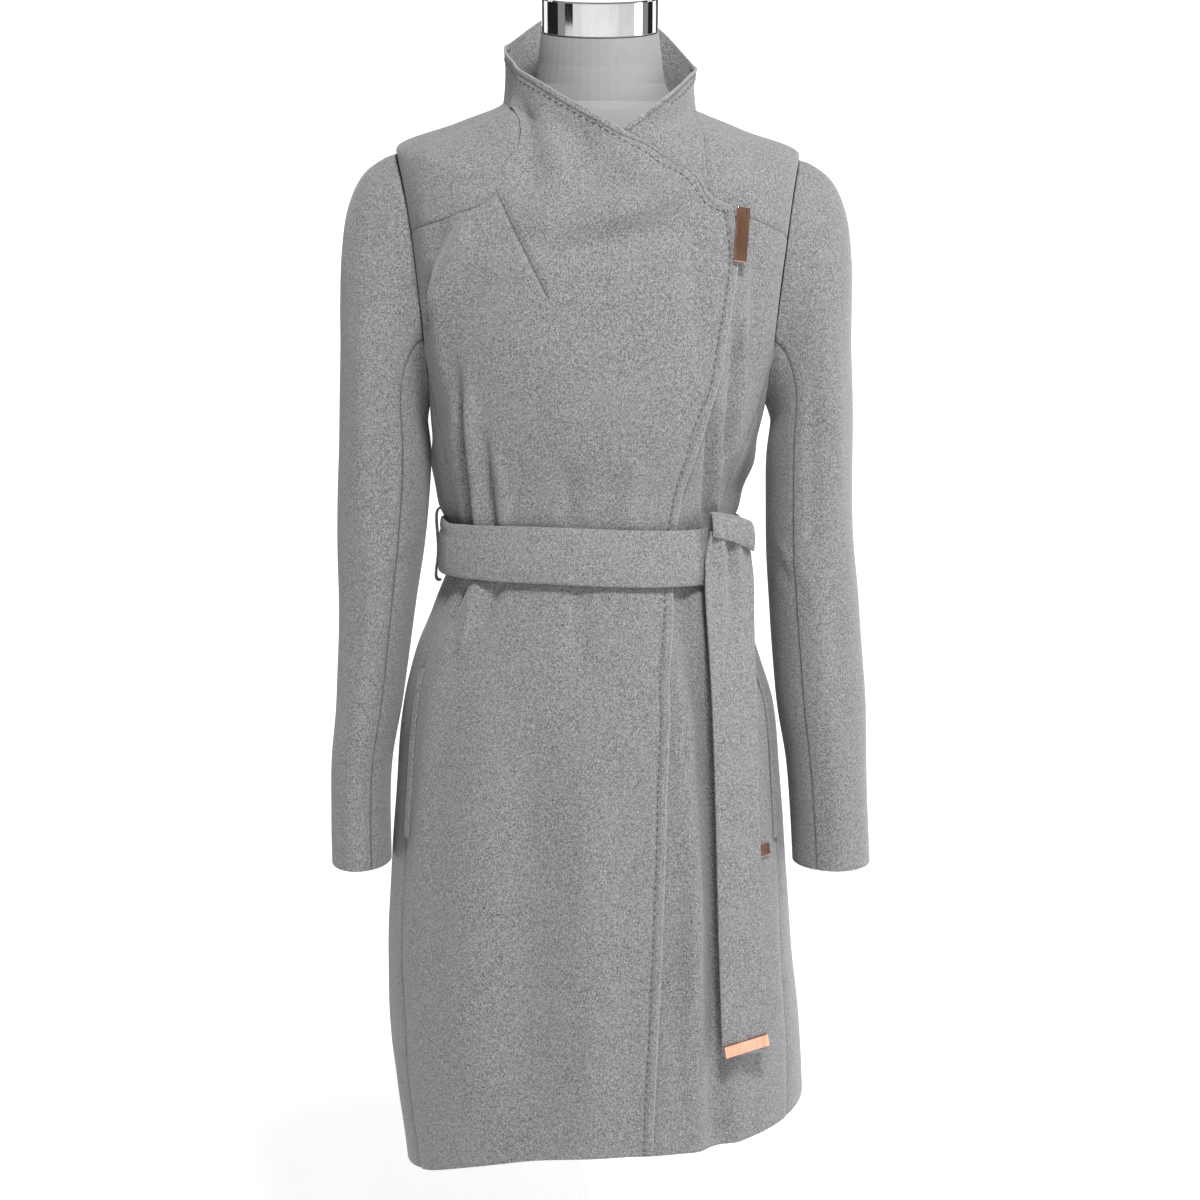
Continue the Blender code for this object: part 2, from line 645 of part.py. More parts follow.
def make_loops():
    """A narrow strap at each side seam, standing proud of the belt."""
    half, steps = 0.0055, 10
    for name, side in (("belt_loop_right", -1), ("belt_loop_left", 1)):
        rows = []
        for k in range(steps + 1):
            t = k / steps
            z = BELT_HEIGHT - belt_drop(side * 90) + LOOP_HALF * math.cos(math.pi * t)
            surface = body_surface(side * 90, z)
            proud = 0.0032 + 0.0104 * math.sin(math.pi * t) ** 0.6
            rows.append([Vector((surface.x + side * proud, dy, z)) for dy in (-half, half)])
        if side > 0:
            rows = rows[::-1]
        sheet(name, rows[::-1], WOOL, 0.0022)


# ---------------------------------------------------------------- metal bars
def make_bar(name, length, width, centre, normal, lean):
    """A thin bar with round edges, flat on its piece; lean turns it from upright."""
    bpy.ops.mesh.primitive_cube_add(size=1)
    made = bpy.context.object
    made.name = made.data.name = name
    for owner in list(made.users_collection):
        owner.objects.unlink(made)
    COAT.objects.link(made)
    made.data.materials.clear()
    made.data.materials.append(material(*ROSE_METAL))
    made.data.transform(Matrix.Diagonal((width, BAR_THICKNESS, length, 1)))
    normal = normal.normalized()
    across = Vector((0, 0, 1)).cross(normal).normalized()
    up = normal.cross(across)
    if across.x < 0:
        across = -across
    turn = Matrix((across, -normal, up)).transposed()
    made.matrix_world = (Matrix.Translation(centre + normal * BAR_THICKNESS / 2)
                         @ turn.to_4x4() @ Matrix.Rotation(lean, 4, "Y"))
    bevel = made.modifiers.new("round", "BEVEL")
    bevel.width = 0.0006
    bevel.segments = 2
    return made


def make_bars():
    turn, rise = locate(0.1226, 1.2540)
    normal = body_normal(turn, rise)
    out = OVERLAP_RISE + WALL / 2 + 0.0008
    make_bar("bar_lapel", 0.049, 0.0125, body_surface(turn, rise) + normal * out, normal, math.radians(7))
    foot = tail_rows([TAIL[-1][0]], 1)[0]
    facing = Vector((foot[1].y - foot[0].y, -(foot[1].x - foot[0].x), 0)).normalized()
    middle = (foot[0] + foot[1]) / 2 + Vector((0, 0, 0.008)) + facing * (BELT_WALL / 2 + REST_GAP)
    make_bar("bar_belt_end", 0.044, 0.0115, middle, facing, math.radians(80))
    turn, rise = locate(0.1450, 0.6930)
    normal = body_normal(turn, rise)
    out = WALL / 2 + 0.0006
    make_bar("bar_pocket", 0.030, 0.0110, body_point(turn, rise) + normal * out, normal, math.radians(86))


# ---------------------------------------------------------------- dress form and stand
FORM_ROWS = (            # rise and distance inside the coat
    (0.720, 0.0140), (0.760, 0.0120), (0.820, 0.0120), (0.880, 0.0120), (0.930, 0.0110), (0.968, 0.0100),
    (1.010, 0.0110), (1.060, 0.0120), (1.110, 0.0120), (1.150, 0.0110), (1.190, 0.0090), (1.225, 0.0060),
    (1.240, 0.0045), (1.255, 0.0036), (1.270, 0.0030), (1.285, 0.0032), (1.295, 0.0052), (1.305, 0.0068),
    (1.315, 0.0074), (1.325, 0.0080),
)
NECK_ROWS = (            # z, half-width, half-depth, centre y, forward tilt in degrees
    (1.3720, 0.0800, 0.0660, -0.0110, 4),
    (1.3820, 0.0690, 0.0610, -0.0120, 6),
    (1.3990, 0.0600, 0.0570, -0.0150, 8),
    (1.4180, 0.0570, 0.0550, -0.0170, 12),
    (1.4440, 0.0540, 0.0540, -0.0200, 15),
)
CAP_CENTRE = Vector((0, -0.0243, 1.4593))


def make_form():
    count = 44
    rings = []
    for rise, inside in FORM_ROWS:
        ring = []
        for k in range(count):
            turn = 360 * k / count
            ring.append(body_surface(turn, rise) - body_normal(turn, rise) * (WALL / 2 + inside))
        rings.append(ring)
    for z, half_width, half_depth, y, tilt in NECK_ROWS:
        ring = []
        for k in range(count):
            angle = 2 * math.pi * k / count
            ahead = half_depth * math.cos(angle)
            ring.append(Vector((half_width * math.sin(angle), y - ahead * math.cos(math.radians(tilt)),
                                z - ahead * math.sin(math.radians(tilt)))))
        rings.append(ring)
    for point in rings[0]:
        point.z = TORSO_BOTTOM
    loft("form_torso", rings, FORM_CLOTH)


def turned(name, profile, finish, count=40):
    """A turned solid: its profile runs from top to bottom down the outer side."""
    mesh = bpy.data.meshes.new(name)
    mesh.from_pydata([(r, 0, z) for r, z in profile], [(i, i + 1) for i in range(len(profile) - 1)], [])
    made = add_object(name, mesh, finish)
    screw = made.modifiers.new("turn", "SCREW")
    screw.angle = 2 * math.pi
    screw.steps = screw.render_steps = count
    screw.use_merge_vertices = True
    screw.merge_threshold = 0.00005
    screw.use_smooth_shade = True
    return made


def make_stand():
    half = CAP_HEIGHT / 2
    bead = 0.0015
    cap = turned("form_neck_cap", [(0, half), (CAP_RADIUS - bead, half), (CAP_RADIUS, half - bead),
                                   (CAP_RADIUS, bead - half), (CAP_RADIUS - bead, -half), (0, -half)], CHROME)
    cap.location = CAP_CENTRE
    cap.rotation_euler = (CAP_TILT, 0, 0)
    turned("stand_pole", [(0, TORSO_BOTTOM - REST_GAP), (POLE_RADIUS, TORSO_BOTTOM - REST_GAP),
                          (POLE_RADIUS, BASE_HEIGHT + REST_GAP), (0, BASE_HEIGHT + REST_GAP)], CHROME, 24)
    edge = 0.003
    turned("stand_base", [(0, BASE_HEIGHT), (BASE_RADIUS - edge, BASE_HEIGHT),
                          (BASE_RADIUS, BASE_HEIGHT - edge), (BASE_RADIUS, 0), (0, 0)], CHROME, 56)


def main():
    for leftover in list(bpy.data.objects):
        bpy.data.objects.remove(leftover, do_unlink=True)
    bpy.context.scene.collection.children.link(COAT)
    make_form()
    make_stand()
    make_fronts()
    make_sides()
    make_yokes()
    make_back()
    make_collar_back()
    make_sleeves()
    make_belt()
    make_tail()
    make_knot()
    make_loops()
    make_bars()


main()
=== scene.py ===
"""Looks of a belted wrap coat on a limbless dress form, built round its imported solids.

Metres, +Z up; the coat's front faces -Y and its wearer's left side is at +X. One surface, body_at(turn,
rise), carries the panels: turn is the angle round the body in degrees (0 front, 90 wearer's left) and
rise is the height of that line at centre front. Seams and edges are short tables on that surface.
"""
import math

import bmesh
import bpy
import numpy as np
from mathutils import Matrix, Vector


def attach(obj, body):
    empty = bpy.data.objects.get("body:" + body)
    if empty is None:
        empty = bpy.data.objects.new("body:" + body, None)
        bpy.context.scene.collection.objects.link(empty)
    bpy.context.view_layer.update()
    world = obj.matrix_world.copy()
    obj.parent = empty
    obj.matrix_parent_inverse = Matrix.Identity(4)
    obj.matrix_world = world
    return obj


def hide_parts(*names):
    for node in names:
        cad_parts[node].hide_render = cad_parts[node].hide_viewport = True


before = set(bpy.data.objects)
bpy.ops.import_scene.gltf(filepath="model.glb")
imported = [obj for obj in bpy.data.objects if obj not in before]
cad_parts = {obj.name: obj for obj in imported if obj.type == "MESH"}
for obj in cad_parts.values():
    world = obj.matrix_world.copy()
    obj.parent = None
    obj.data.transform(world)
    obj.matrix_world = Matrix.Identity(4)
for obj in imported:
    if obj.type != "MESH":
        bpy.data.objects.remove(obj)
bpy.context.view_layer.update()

# ---------------------------------------------------------------- sizes
WALL = 0.0022
SEAM_GAP = 0.0004
OVERLAP_RISE = 0.0055
BELT_WALL = 0.0026
BELT_WIDTH = 0.054
BELT_HEIGHT = 0.9675
BELT_DROP = 0.0035
BELT_RISE = 0.0060
ARM_TURN = 23.0
ARM_MIDDLE = 1.190
ARM_HALF = 0.095
ARM_STEPS = 24
YOKE_STEP = 5
SEAM_STEP = 9
YOKE_COLS = 6
CHEST_COLS = 9
CREASE_ROWS = 8
COLLAR_ROWS = 4
COLLAR_END = 104.0
NECK_RISE = 1.345
COLLAR_TOP = 1.418
LAPEL_RISE = 1.213
HEM_LIFT = 0.012
SLEEVE_INSET = 0.972
BACK_COLS = 14
LOOP_HALF = 0.0345
CELL = 0.0040      # size of a panel's mesh cells

# Rings round the coat. right and left are half-widths, front and back are depths, z_* the ring's height
# at each side; power squares the section (2 is an ellipse).
RING_COLUMNS = ("rise", "right", "left", "front", "back", "z_right", "z_left", "z_back", "power")
RINGS = (
    (0.418, 0.1870, 0.1960, 0.160, 0.155, 0.378, 0.444, 0.400, 2.30),   # hem
    (0.500, 0.1990, 0.1925, 0.157, 0.150, 0.490, 0.507, 0.496, 2.30),
    (0.580, 0.2010, 0.1850, 0.152, 0.145, 0.580, 0.582, 0.580, 2.30),
    (0.670, 0.1960, 0.1780, 0.145, 0.142, 0.670, 0.670, 0.670, 2.30),   # thigh
    (0.760, 0.1890, 0.1718, 0.135, 0.138, 0.760, 0.760, 0.760, 2.25),   # hip
    (0.820, 0.1830, 0.1655, 0.127, 0.130, 0.820, 0.820, 0.820, 2.25),
    (0.870, 0.1730, 0.1500, 0.118, 0.120, 0.870, 0.870, 0.870, 2.20),
    (0.915, 0.1565, 0.1350, 0.110, 0.107, 0.915, 0.915, 0.915, 2.20),
    (0.968, 0.1405, 0.1215, 0.104, 0.098, 0.968, 0.968, 0.968, 2.20),   # waist
    (1.020, 0.1490, 0.1280, 0.108, 0.100, 1.020, 1.020, 1.020, 2.20),
    (1.060, 0.1560, 0.1440, 0.117, 0.104, 1.062, 1.062, 1.060, 2.25),
    (1.100, 0.1600, 0.1560, 0.124, 0.108, 1.108, 1.108, 1.104, 2.30),   # underarm
    (1.150, 0.1720, 0.1700, 0.126, 0.111, 1.175, 1.172, 1.165, 2.40),   # bust
    (1.220, 0.1830, 0.1820, 0.122, 0.107, 1.272, 1.266, 1.250, 2.50),
    (1.285, 0.1890, 0.1850, 0.110, 0.095, 1.338, 1.332, 1.330, 2.50),   # shoulder tip
    (1.325, 0.1280, 0.1280, 0.100, 0.078, 1.364, 1.358, 1.374, 2.30),
    (1.345, 0.0890, 0.0880, 0.098, 0.070, 1.382, 1.376, 1.392, 2.15),   # neck line
    (1.385, 0.0870, 0.0865, 0.100, 0.075, 1.410, 1.397, 1.440, 2.10),
    (1.418, 0.0890, 0.0900, 0.103, 0.085, 1.437, 1.417, 1.489, 2.10),   # collar's top

)

# Lines on the front as they look from the front: x, z.
LAPEL_EDGE = (           # collar's top edge, from the side of the neck down to the lapel's corner
    (-0.0850, 1.4320), (-0.0740, 1.4090), (-0.0560, 1.3955), (-0.0300, 1.3775), (-0.0050, 1.3625),
    (0.0170, 1.3485), (0.0365, 1.3370), (0.0675, 1.3130), (0.0965, 1.2885), (0.1160, 1.2785),
)
FRONT_EDGE = (           # free front edge, from the lapel's corner down to the hem
    (0.1160, 1.2785), (0.1205, 1.2280), (0.1145, 1.1860), (0.1095, 1.1580), (0.1035, 1.1210),
    (0.0870, 1.0770), (0.0740, 1.0300), (0.0665, 0.9900), (0.0640, 0.9380), (0.0615, 0.8400),
    (0.0575, 0.6760), (0.0525, 0.5500), (0.0490, 0.4850), (0.0470, 0.4330),
)
UNDER_COLLAR_EDGE = (    # the left front's collar is lower at its side, and ends under the right front
    (0.0890, 1.4150), (0.0840, 1.4060), (0.0740, 1.3940), (0.0590, 1.3800), (0.0285, 1.3560),
    (0.0050, 1.3420), (-0.0300, 1.3230), (-0.0650, 1.3030), (-0.0760, 1.2960),
)
UNDER_EDGE = (           # the left front's free edge, hidden by the right front
    (-0.0760, 1.2960), (-0.0800, 1.2400), (-0.0790, 1.1800), (-0.0760, 1.1200), (-0.0700, 1.0400),
    (-0.0640, 0.9680), (-0.0620, 0.8700), (-0.0600, 0.7400), (-0.0560, 0.6000), (-0.0520, 0.4300),
)
YOKE_SEAM = ((0.1450, 1.2660), (0.1290, 1.2715), (0.1055, 1.2785), (0.0876, 1.2875))   # mirrored
# Where a front's collar leaves its yoke, up to the side of the neck: turn, rise.
CREASE_RIGHT = ((-23.5, 1.2960), (-27.0, 1.3180), (-42.0, 1.3360), (-64.0, 1.3430))
CREASE_LEFT = ((27.0, 1.2960), (38.0, 1.3180), (56.0, 1.3350), (74.0, 1.3425))
SIDE_SEAM = (            # side-front seam: rise, turn
    (0.418, 62.0), (0.520, 64.0), (0.700, 68.0), (0.835, 70.0), (0.920, 67.0), (1.043, 63.0),
)
BACK_SEAM_TURN = 112.0
# Rise of the panels' grid rows from the hem up; two of them lie at the belt's edges.
SEAM_RISES = (0.418, 0.500, 0.580, 0.660, 0.740, 0.805, 0.850, 0.895, 0.9405, 0.9945, 1.043)

# Broad folds: start and end in turn and rise, depth (minus goes in) and half-width in degrees.
# Columns: turn_0, rise_0, turn_1, rise_1, depth, width.
FOLDS = (
    (34.0, 0.90, 33.0, 0.43, -0.010, 5.0),      # deep fold beside the belt's tail
    (24.0, 0.90, 25.0, 0.43, 0.004, 4.0),       # rib beside it
    (-30.0, 1.20, 20.0, 1.30, 0.004, 8.0),      # drape across the chest
    (-52.0, 0.93, -58.0, 0.62, 0.003, 6.0),     # hip
    (150.0, 0.92, 156.0, 0.43, -0.005, 8.0),    # back skirt
    (-150.0, 0.92, -158.0, 0.43, -0.006, 8.0),
)

# Sleeve rings: height, centre x (outwards), centre y, half-width, half-depth, rise of the outer side.
SLEEVE_COLUMNS = ("z", "x", "y", "wide", "deep", "tilt")
SLEEVE_RIGHT = (
    (1.120, 0.2035, 0.002, 0.0395, 0.0700, 0.036),
    (1.053, 0.2030, 0.000, 0.0425, 0.0660, 0.008),
    (1.004, 0.2060, -0.002, 0.0420, 0.0630, 0.000),
    (0.925, 0.2110, -0.006, 0.0360, 0.0600, 0.000),
    (0.834, 0.2180, -0.014, 0.0305, 0.0570, 0.000),
    (0.745, 0.2275, -0.024, 0.0270, 0.0540, 0.000),
    (0.672, 0.2265, -0.032, 0.0265, 0.0530, 0.000),
)
SLEEVE_LEFT = (
    (1.120, 0.1990, 0.002, 0.0365, 0.0690, 0.036),
    (1.053, 0.1985, 0.000, 0.0395, 0.0650, 0.008),
    (1.004, 0.1985, -0.002, 0.0395, 0.0620, 0.000),
    (0.925, 0.2030, -0.006, 0.0415, 0.0590, 0.000),
    (0.834, 0.2100, -0.014, 0.0415, 0.0560, 0.000),
    (0.745, 0.2165, -0.024, 0.0360, 0.0530, 0.000),
    (0.672, 0.2200, -0.032, 0.0355, 0.0520, 0.000),
)

# Belt tail, a strip seen from the front: z, left edge x and y, right edge x and y.
TAIL_COLUMNS = ("z", "x_left", "y_left", "x_right", "y_right")
TAIL = (
    (0.9900, 0.1010, -0.0900, 0.1340, -0.0724),
    (0.9650, 0.0960, -0.0920, 0.1395, -0.0700),
    (0.9380, 0.0955, -0.0960, 0.1419, -0.0740),
    (0.9000, 0.0975, -0.1020, 0.1420, -0.0800),
    (0.8385, 0.1014, -0.1160, 0.1430, -0.0960),
    (0.7485, 0.1050, -0.1290, 0.1439, -0.1110),
    (0.6308, 0.1079, -0.1400, 0.1478, -0.1230),
    (0.5166, 0.1110, -0.1470, 0.1538, -0.1310),
)


DART = ((-22.8, 1.2790), (-19.7, 1.2550), (-15.4, 1.2320), (-12.1, 1.2090), (-9.8, 1.1920))

# Creases and soft folds of single pieces, as seen from the front (x, z) or, with "turn", in turn and rise.
# depth above 0 stands out; width is the half-width in metres, and share fades the ends.
# Columns: piece, kind, a_0, b_0, a_1, b_1, depth, width.
CREASES = (
    ("right_front", "seen", -0.118, 1.258, -0.143, 1.190, 0.0030, 0.012),    # drape by the armhole
    ("right_front", "seen", -0.135, 1.262, -0.158, 1.180, -0.0030, 0.010),
    ("right_front", "seen", -0.070, 1.262, 0.030, 1.279, 0.0028, 0.016),     # across the chest
    ("right_front", "seen", 0.020, 1.262, 0.095, 1.314, 0.0022, 0.014),
    ("right_front", "seen", -0.050, 1.235, 0.070, 1.262, -0.0020, 0.014),
    ("right_front", "seen", -0.076, 1.372, -0.086, 1.312, 0.0016, 0.008),    # collar's stand
    ("right_front", "seen", -0.066, 1.372, -0.058, 1.296, -0.0016, 0.009),
    ("right_front", "seen", -0.052, 1.366, -0.030, 1.296, 0.0014, 0.010),
    ("right_front", "seen", -0.020, 1.352, 0.000, 1.292, -0.0012, 0.012),
    ("right_front", "seen", 0.020, 1.325, 0.060, 1.285, 0.0012, 0.012),
    ("right_front", "seen", 0.080, 1.270, 0.085, 1.150, -0.0014, 0.014),     # beside the front edge
    ("right_front", "seen", -0.145, 1.235, -0.136, 1.120, 0.0016, 0.010),
    ("right_front", "seen", -0.124, 1.124, -0.116, 0.994, -0.0036, 0.0055),  # pleats over the belt
    ("right_front", "seen", -0.114, 1.120, -0.106, 0.994, 0.0032, 0.0060),
    ("right_front", "seen", -0.101, 1.070, -0.0935, 0.994, -0.0026, 0.0050),
    ("right_front", "seen", -0.091, 1.060, -0.084, 0.994, 0.0020, 0.0060),
    ("right_front", "seen", -0.030, 1.050, -0.024, 0.994, -0.0012, 0.0080),
    ("right_front", "seen", 0.030, 1.060, 0.022, 0.994, 0.0012, 0.0090),
    ("right_front", "seen", -0.119, 0.942, -0.136, 0.900, -0.0030, 0.0050),  # pleats under the belt
    ("right_front", "seen", -0.108, 0.942, -0.122, 0.880, 0.0024, 0.0060),
    ("right_front", "seen", -0.089, 0.942, -0.103, 0.905, -0.0022, 0.0050),
    ("right_front", "seen", -0.020, 0.942, -0.016, 0.860, -0.0012, 0.0100),
    ("right_front", "seen", -0.105, 0.820, -0.120, 0.480, 0.0026, 0.0280),   # long soft folds of the skirt
    ("right_front", "seen", -0.060, 0.800, -0.064, 0.440, -0.0024, 0.0240),
    ("right_front", "seen", -0.010, 0.780, -0.008, 0.440, 0.0022, 0.0240),
    ("left_front", "seen", 0.140, 1.240, 0.134, 1.130, -0.0020, 0.0080),     # under the lapel
    ("left_front", "seen", 0.129, 1.175, 0.120, 1.060, 0.0034, 0.0050),
    ("left_front", "seen", 0.122, 1.170, 0.113, 1.060, -0.0034, 0.0050),
    ("left_front", "seen", 0.106, 1.120, 0.104, 0.994, 0.0028, 0.0050),
    ("left_front", "seen", 0.098, 1.090, 0.097, 0.994, -0.0026, 0.0045),
    ("left_front", "seen", 0.088, 0.930, 0.082, 0.560, 0.0030, 0.0080),      # beside the front edge
    ("left_front", "seen", 0.100, 0.930, 0.100, 0.450, -0.0034, 0.0080),
    ("left_front", "seen", 0.118, 0.560, 0.122, 0.420, 0.0030, 0.0120),
    ("back", "turn", 150.0, 1.060, 154.0, 0.994, -0.0024, 0.0060),
    ("back", "turn", 158.0, 1.080, 160.0, 0.994, 0.0022, 0.0070),
    ("back", "turn", 205.0, 1.090, 202.0, 0.994, -0.0026, 0.0070),
    ("back", "turn", 214.0, 1.060, 210.0, 0.994, 0.0020, 0.0060),
    ("back", "turn", 140.0, 0.942, 146.0, 0.890, -0.0024, 0.0060),
    ("back", "turn", 170.0, 0.942, 172.0, 0.860, 0.0022, 0.0090),
    ("back", "turn", 198.0, 0.942, 204.0, 0.880, -0.0024, 0.0070),
    ("back", "turn", 152.0, 1.270, 176.0, 1.180, -0.0022, 0.0160),           # between the shoulder blades
    ("back", "turn", 208.0, 1.270, 186.0, 1.190, -0.0020, 0.0160),
    ("back", "turn", 176.0, 0.840, 180.0, 0.440, 0.0026, 0.0260),
    ("back", "turn", 200.0, 0.820, 206.0, 0.440, -0.0022, 0.0240),
    ("side_right", "turn", -84.0, 1.060, -86.0, 1.000, 0.0020, 0.0080),
    ("side_left", "turn", 84.0, 1.060, 86.0, 1.000, 0.0020, 0.0080),
    ("side_right", "turn", -90.0, 0.860, -92.0, 0.480, 0.0022, 0.0200),
    ("side_left", "turn", 92.0, 0.860, 94.0, 0.480, -0.0022, 0.0200),
)

# Soft folds of the sleeves: angle from the outer side (90 is the front), height, then the same further on.
# Columns: side, angle_0, z_0, angle_1, z_1, depth, width.
SLEEVE_FOLDS = (
    (-1, 70.0, 1.180, 62.0, 1.020, 0.0030, 0.012),
    (-1, 100.0, 1.130, 92.0, 0.980, -0.0034, 0.011),
    (-1, 60.0, 0.990, 75.0, 0.860, -0.0022, 0.014),
    (-1, 85.0, 0.930, 80.0, 0.700, 0.0022, 0.014),
    (-1, 130.0, 0.960, 100.0, 0.925, -0.0020, 0.008),
    (-1, 135.0, 0.985, 105.0, 0.950, 0.0018, 0.008),
    (-1, 250.0, 1.120, 262.0, 0.960, -0.0028, 0.013),
    (-1, 300.0, 1.020, 290.0, 0.780, 0.0020, 0.016),
    (1, 68.0, 1.170, 60.0, 1.010, 0.0028, 0.012),
    (1, 98.0, 1.130, 92.0, 0.960, -0.0034, 0.011),
    (1, 70.0, 0.960, 84.0, 0.820, -0.0024, 0.013),
    (1, 88.0, 0.900, 82.0, 0.690, 0.0022, 0.014),
    (1, 135.0, 0.950, 104.0, 0.915, -0.0022, 0.008),
    (1, 138.0, 0.975, 108.0, 0.942, 0.0018, 0.008),
    (1, 255.0, 1.120, 264.0, 0.950, -0.0028, 0.013),
    (1, 295.0, 1.010, 300.0, 0.770, 0.0020, 0.016),
)

CREASE_SCALE = 2.6


# ---------------------------------------------------------------- curves
def column(table, columns, name):
    index = columns.index(name)
    return np.array([row[index] for row in table])


def slopes(x, y):
    step = np.diff(x)
    rate = np.diff(y) / step
    out = np.empty_like(y)
    out[0], out[-1] = rate[0], rate[-1]
    for i in range(1, len(y) - 1):
        if rate[i - 1] * rate[i] <= 0:
            out[i] = 0.0
            continue
        first, second = 2 * step[i] + step[i - 1], step[i] + 2 * step[i - 1]
        out[i] = (first + second) / (first / rate[i - 1] + second / rate[i])
    return out


class Curve:
    """A smooth curve y(x) through a table's points, for numbers or arrays."""

    def __init__(self, x, y):
        order = np.argsort(x)
        self.x = np.asarray(x, float)[order]
        self.y = np.asarray(y, float)[order]
        self.slope = slopes(self.x, self.y)

    def __call__(self, value):
        value = np.clip(value, self.x[0], self.x[-1])
        i = np.clip(np.searchsorted(self.x, value, side="right") - 1, 0, len(self.x) - 2)
        step = self.x[i + 1] - self.x[i]
        t = (value - self.x[i]) / step
        low = (1 + 2 * t) * (1 - t) ** 2 * self.y[i] + t * (1 - t) ** 2 * step * self.slope[i]
        high = t * t * (3 - 2 * t) * self.y[i + 1] + t * t * (t - 1) * step * self.slope[i + 1]
        return low + high


def smoothstep(low, high, value):
    t = np.clip((value - low) / (high - low), 0.0, 1.0)
    return t * t * (3 - 2 * t)


def resample(points, count):
    points = np.array(points, float)
    length = np.concatenate([[0], np.cumsum(np.linalg.norm(np.diff(points, axis=0) * (0.003, 1), axis=1))])
    lines = [Curve(length, points[:, i]) for i in range(2)]
    return [(float(lines[0](s)), float(lines[1](s))) for s in np.linspace(0, length[-1], count + 1)]


def unit(vectors):
    return vectors / np.maximum(np.linalg.norm(vectors, axis=-1, keepdims=True), 1e-12)


# ---------------------------------------------------------------- the body's surface
RING_RISE = column(RINGS, RING_COLUMNS, "rise")
RING = {name: Curve(RING_RISE, column(RINGS, RING_COLUMNS, name)) for name in RING_COLUMNS[1:]}


def body_surface(turn, rise):
    turn, rise = np.asarray(turn, float), np.asarray(rise, float)
    angle = np.radians(turn)
    side, ahead = np.sin(angle), np.cos(angle)
    exponent = 2 / RING["power"](rise)
    width = np.where(side > 0, RING["left"](rise), RING["right"](rise))
    depth = np.where(ahead > 0, RING["front"](rise), RING["back"](rise))
    z_side = np.where(side > 0, RING["z_left"](rise), RING["z_right"](rise))
    z_end = np.where(ahead > 0, rise, RING["z_back"](rise))
    return np.stack([width * np.sign(side) * np.abs(side) ** exponent,
                     -depth * np.sign(ahead) * np.abs(ahead) ** exponent,
                     z_end * ahead ** 2 + z_side * side ** 2], axis=-1)


def body_normal(turn, rise):
    turn, rise = np.asarray(turn, float), np.asarray(rise, float)
    across = body_surface(turn + 1, rise) - body_surface(turn - 1, rise)
    up = body_surface(turn, rise + 0.004) - body_surface(turn, rise - 0.004)
    return unit(np.cross(across, up))


def fold_depth(turn, rise):
    total = np.zeros(np.broadcast(turn, rise).shape)
    for turn_0, rise_0, turn_1, rise_1, depth, width in FOLDS:
        along = (rise - rise_0) / (rise_1 - rise_0)
        ends = smoothstep(-0.15, 0.2, along) * smoothstep(1.35, 0.9, along)
        off = ((turn - (turn_0 + (turn_1 - turn_0) * along) + 180) % 360 - 180) / width
        total = total + depth * ends * np.exp(-off * off)
    return total


def body_at(turn, rise, out=0.0):
    normal = body_normal(turn, rise)
    return body_surface(turn, rise) + normal * (out + fold_depth(turn, rise))[..., None]


def locate(x, z):
    """Turn and rise of the front point that is seen at x, z."""
    turn, rise = 0.0, z
    for _ in range(60):
        width = float(RING["left" if x > 0 else "right"](rise))
        ratio = min(abs(x) / width, 0.999)
        turn = math.degrees(math.copysign(math.asin(ratio ** (float(RING["power"](rise)) / 2)), x))
        rise += 0.7 * (z - float(body_surface(turn, rise)[2]))
    return turn, rise


def seen_line(points, mirror=1):
    return [locate(mirror * x, z) for x, z in points]


# ---------------------------------------------------------------- seams, in turn and rise
def between(left, right, bottom, top, share=None):
    """Grid of turn and rise between four seams: left and right run up, bottom and top run across."""
    left, right, bottom, top = (np.array(line, float) for line in (left, right, bottom, top))
    v = np.array(share if share else np.linspace(0, 1, len(left)))[:, None, None]
    u = np.linspace(0, 1, len(bottom))[None, :, None]
    corners = ((1 - u) * (1 - v) * left[0] + u * (1 - v) * right[0] + (1 - u) * v * left[-1]
               + u * v * right[-1])
    return (1 - u) * left[:, None] + u * right[:, None] + (1 - v) * bottom + v * top - corners


def hem_line(turn_0, turn_1, count):
    return [(turn_0 + (turn_1 - turn_0) * i / count, RINGS[0][0]) for i in range(count + 1)]


def armhole_point(side, step):
    """Armhole points run from the shoulder down the front, under the arm and up the back."""
    angle = 2 * math.pi * step / ARM_STEPS
    return (side * (90 - ARM_TURN * math.sin(angle)), ARM_MIDDLE + ARM_HALF * math.cos(angle))


def side_front_seam(side):
    turn = Curve([r for r, _ in SIDE_SEAM] + [armhole_point(1, SEAM_STEP)[1]],
                 [t for _, t in SIDE_SEAM] + [armhole_point(1, SEAM_STEP)[0]])
    return [(side * float(turn(r)), r) for r in (*SEAM_RISES, armhole_point(side, SEAM_STEP)[1])]


def side_back_seam(side):
    top = armhole_point(side, ARM_STEPS - SEAM_STEP)
    rises = (*SEAM_RISES, top[1])
    ease = [float(smoothstep(1.0, top[1], r)) for r in rises]
    return [(side * BACK_SEAM_TURN + (top[0] - side * BACK_SEAM_TURN) * e, r) for e, r in zip(ease, rises)]


def yoke_seam(side):
    return resample([armhole_point(side, YOKE_STEP)] + seen_line(YOKE_SEAM, side), YOKE_COLS)


def neck_crease(side):
    start = locate(side * YOKE_SEAM[-1][0], YOKE_SEAM[-1][1])
    return resample([start, *(CREASE_LEFT if side > 0 else CREASE_RIGHT), (side * 90.0, NECK_RISE)],
                    CREASE_ROWS)


def collar_end(side):
    return [(side * (90.0 + (COLLAR_END - 90.0) * k / COLLAR_ROWS),
             NECK_RISE + (COLLAR_TOP - NECK_RISE) * k / COLLAR_ROWS) for k in range(COLLAR_ROWS + 1)]


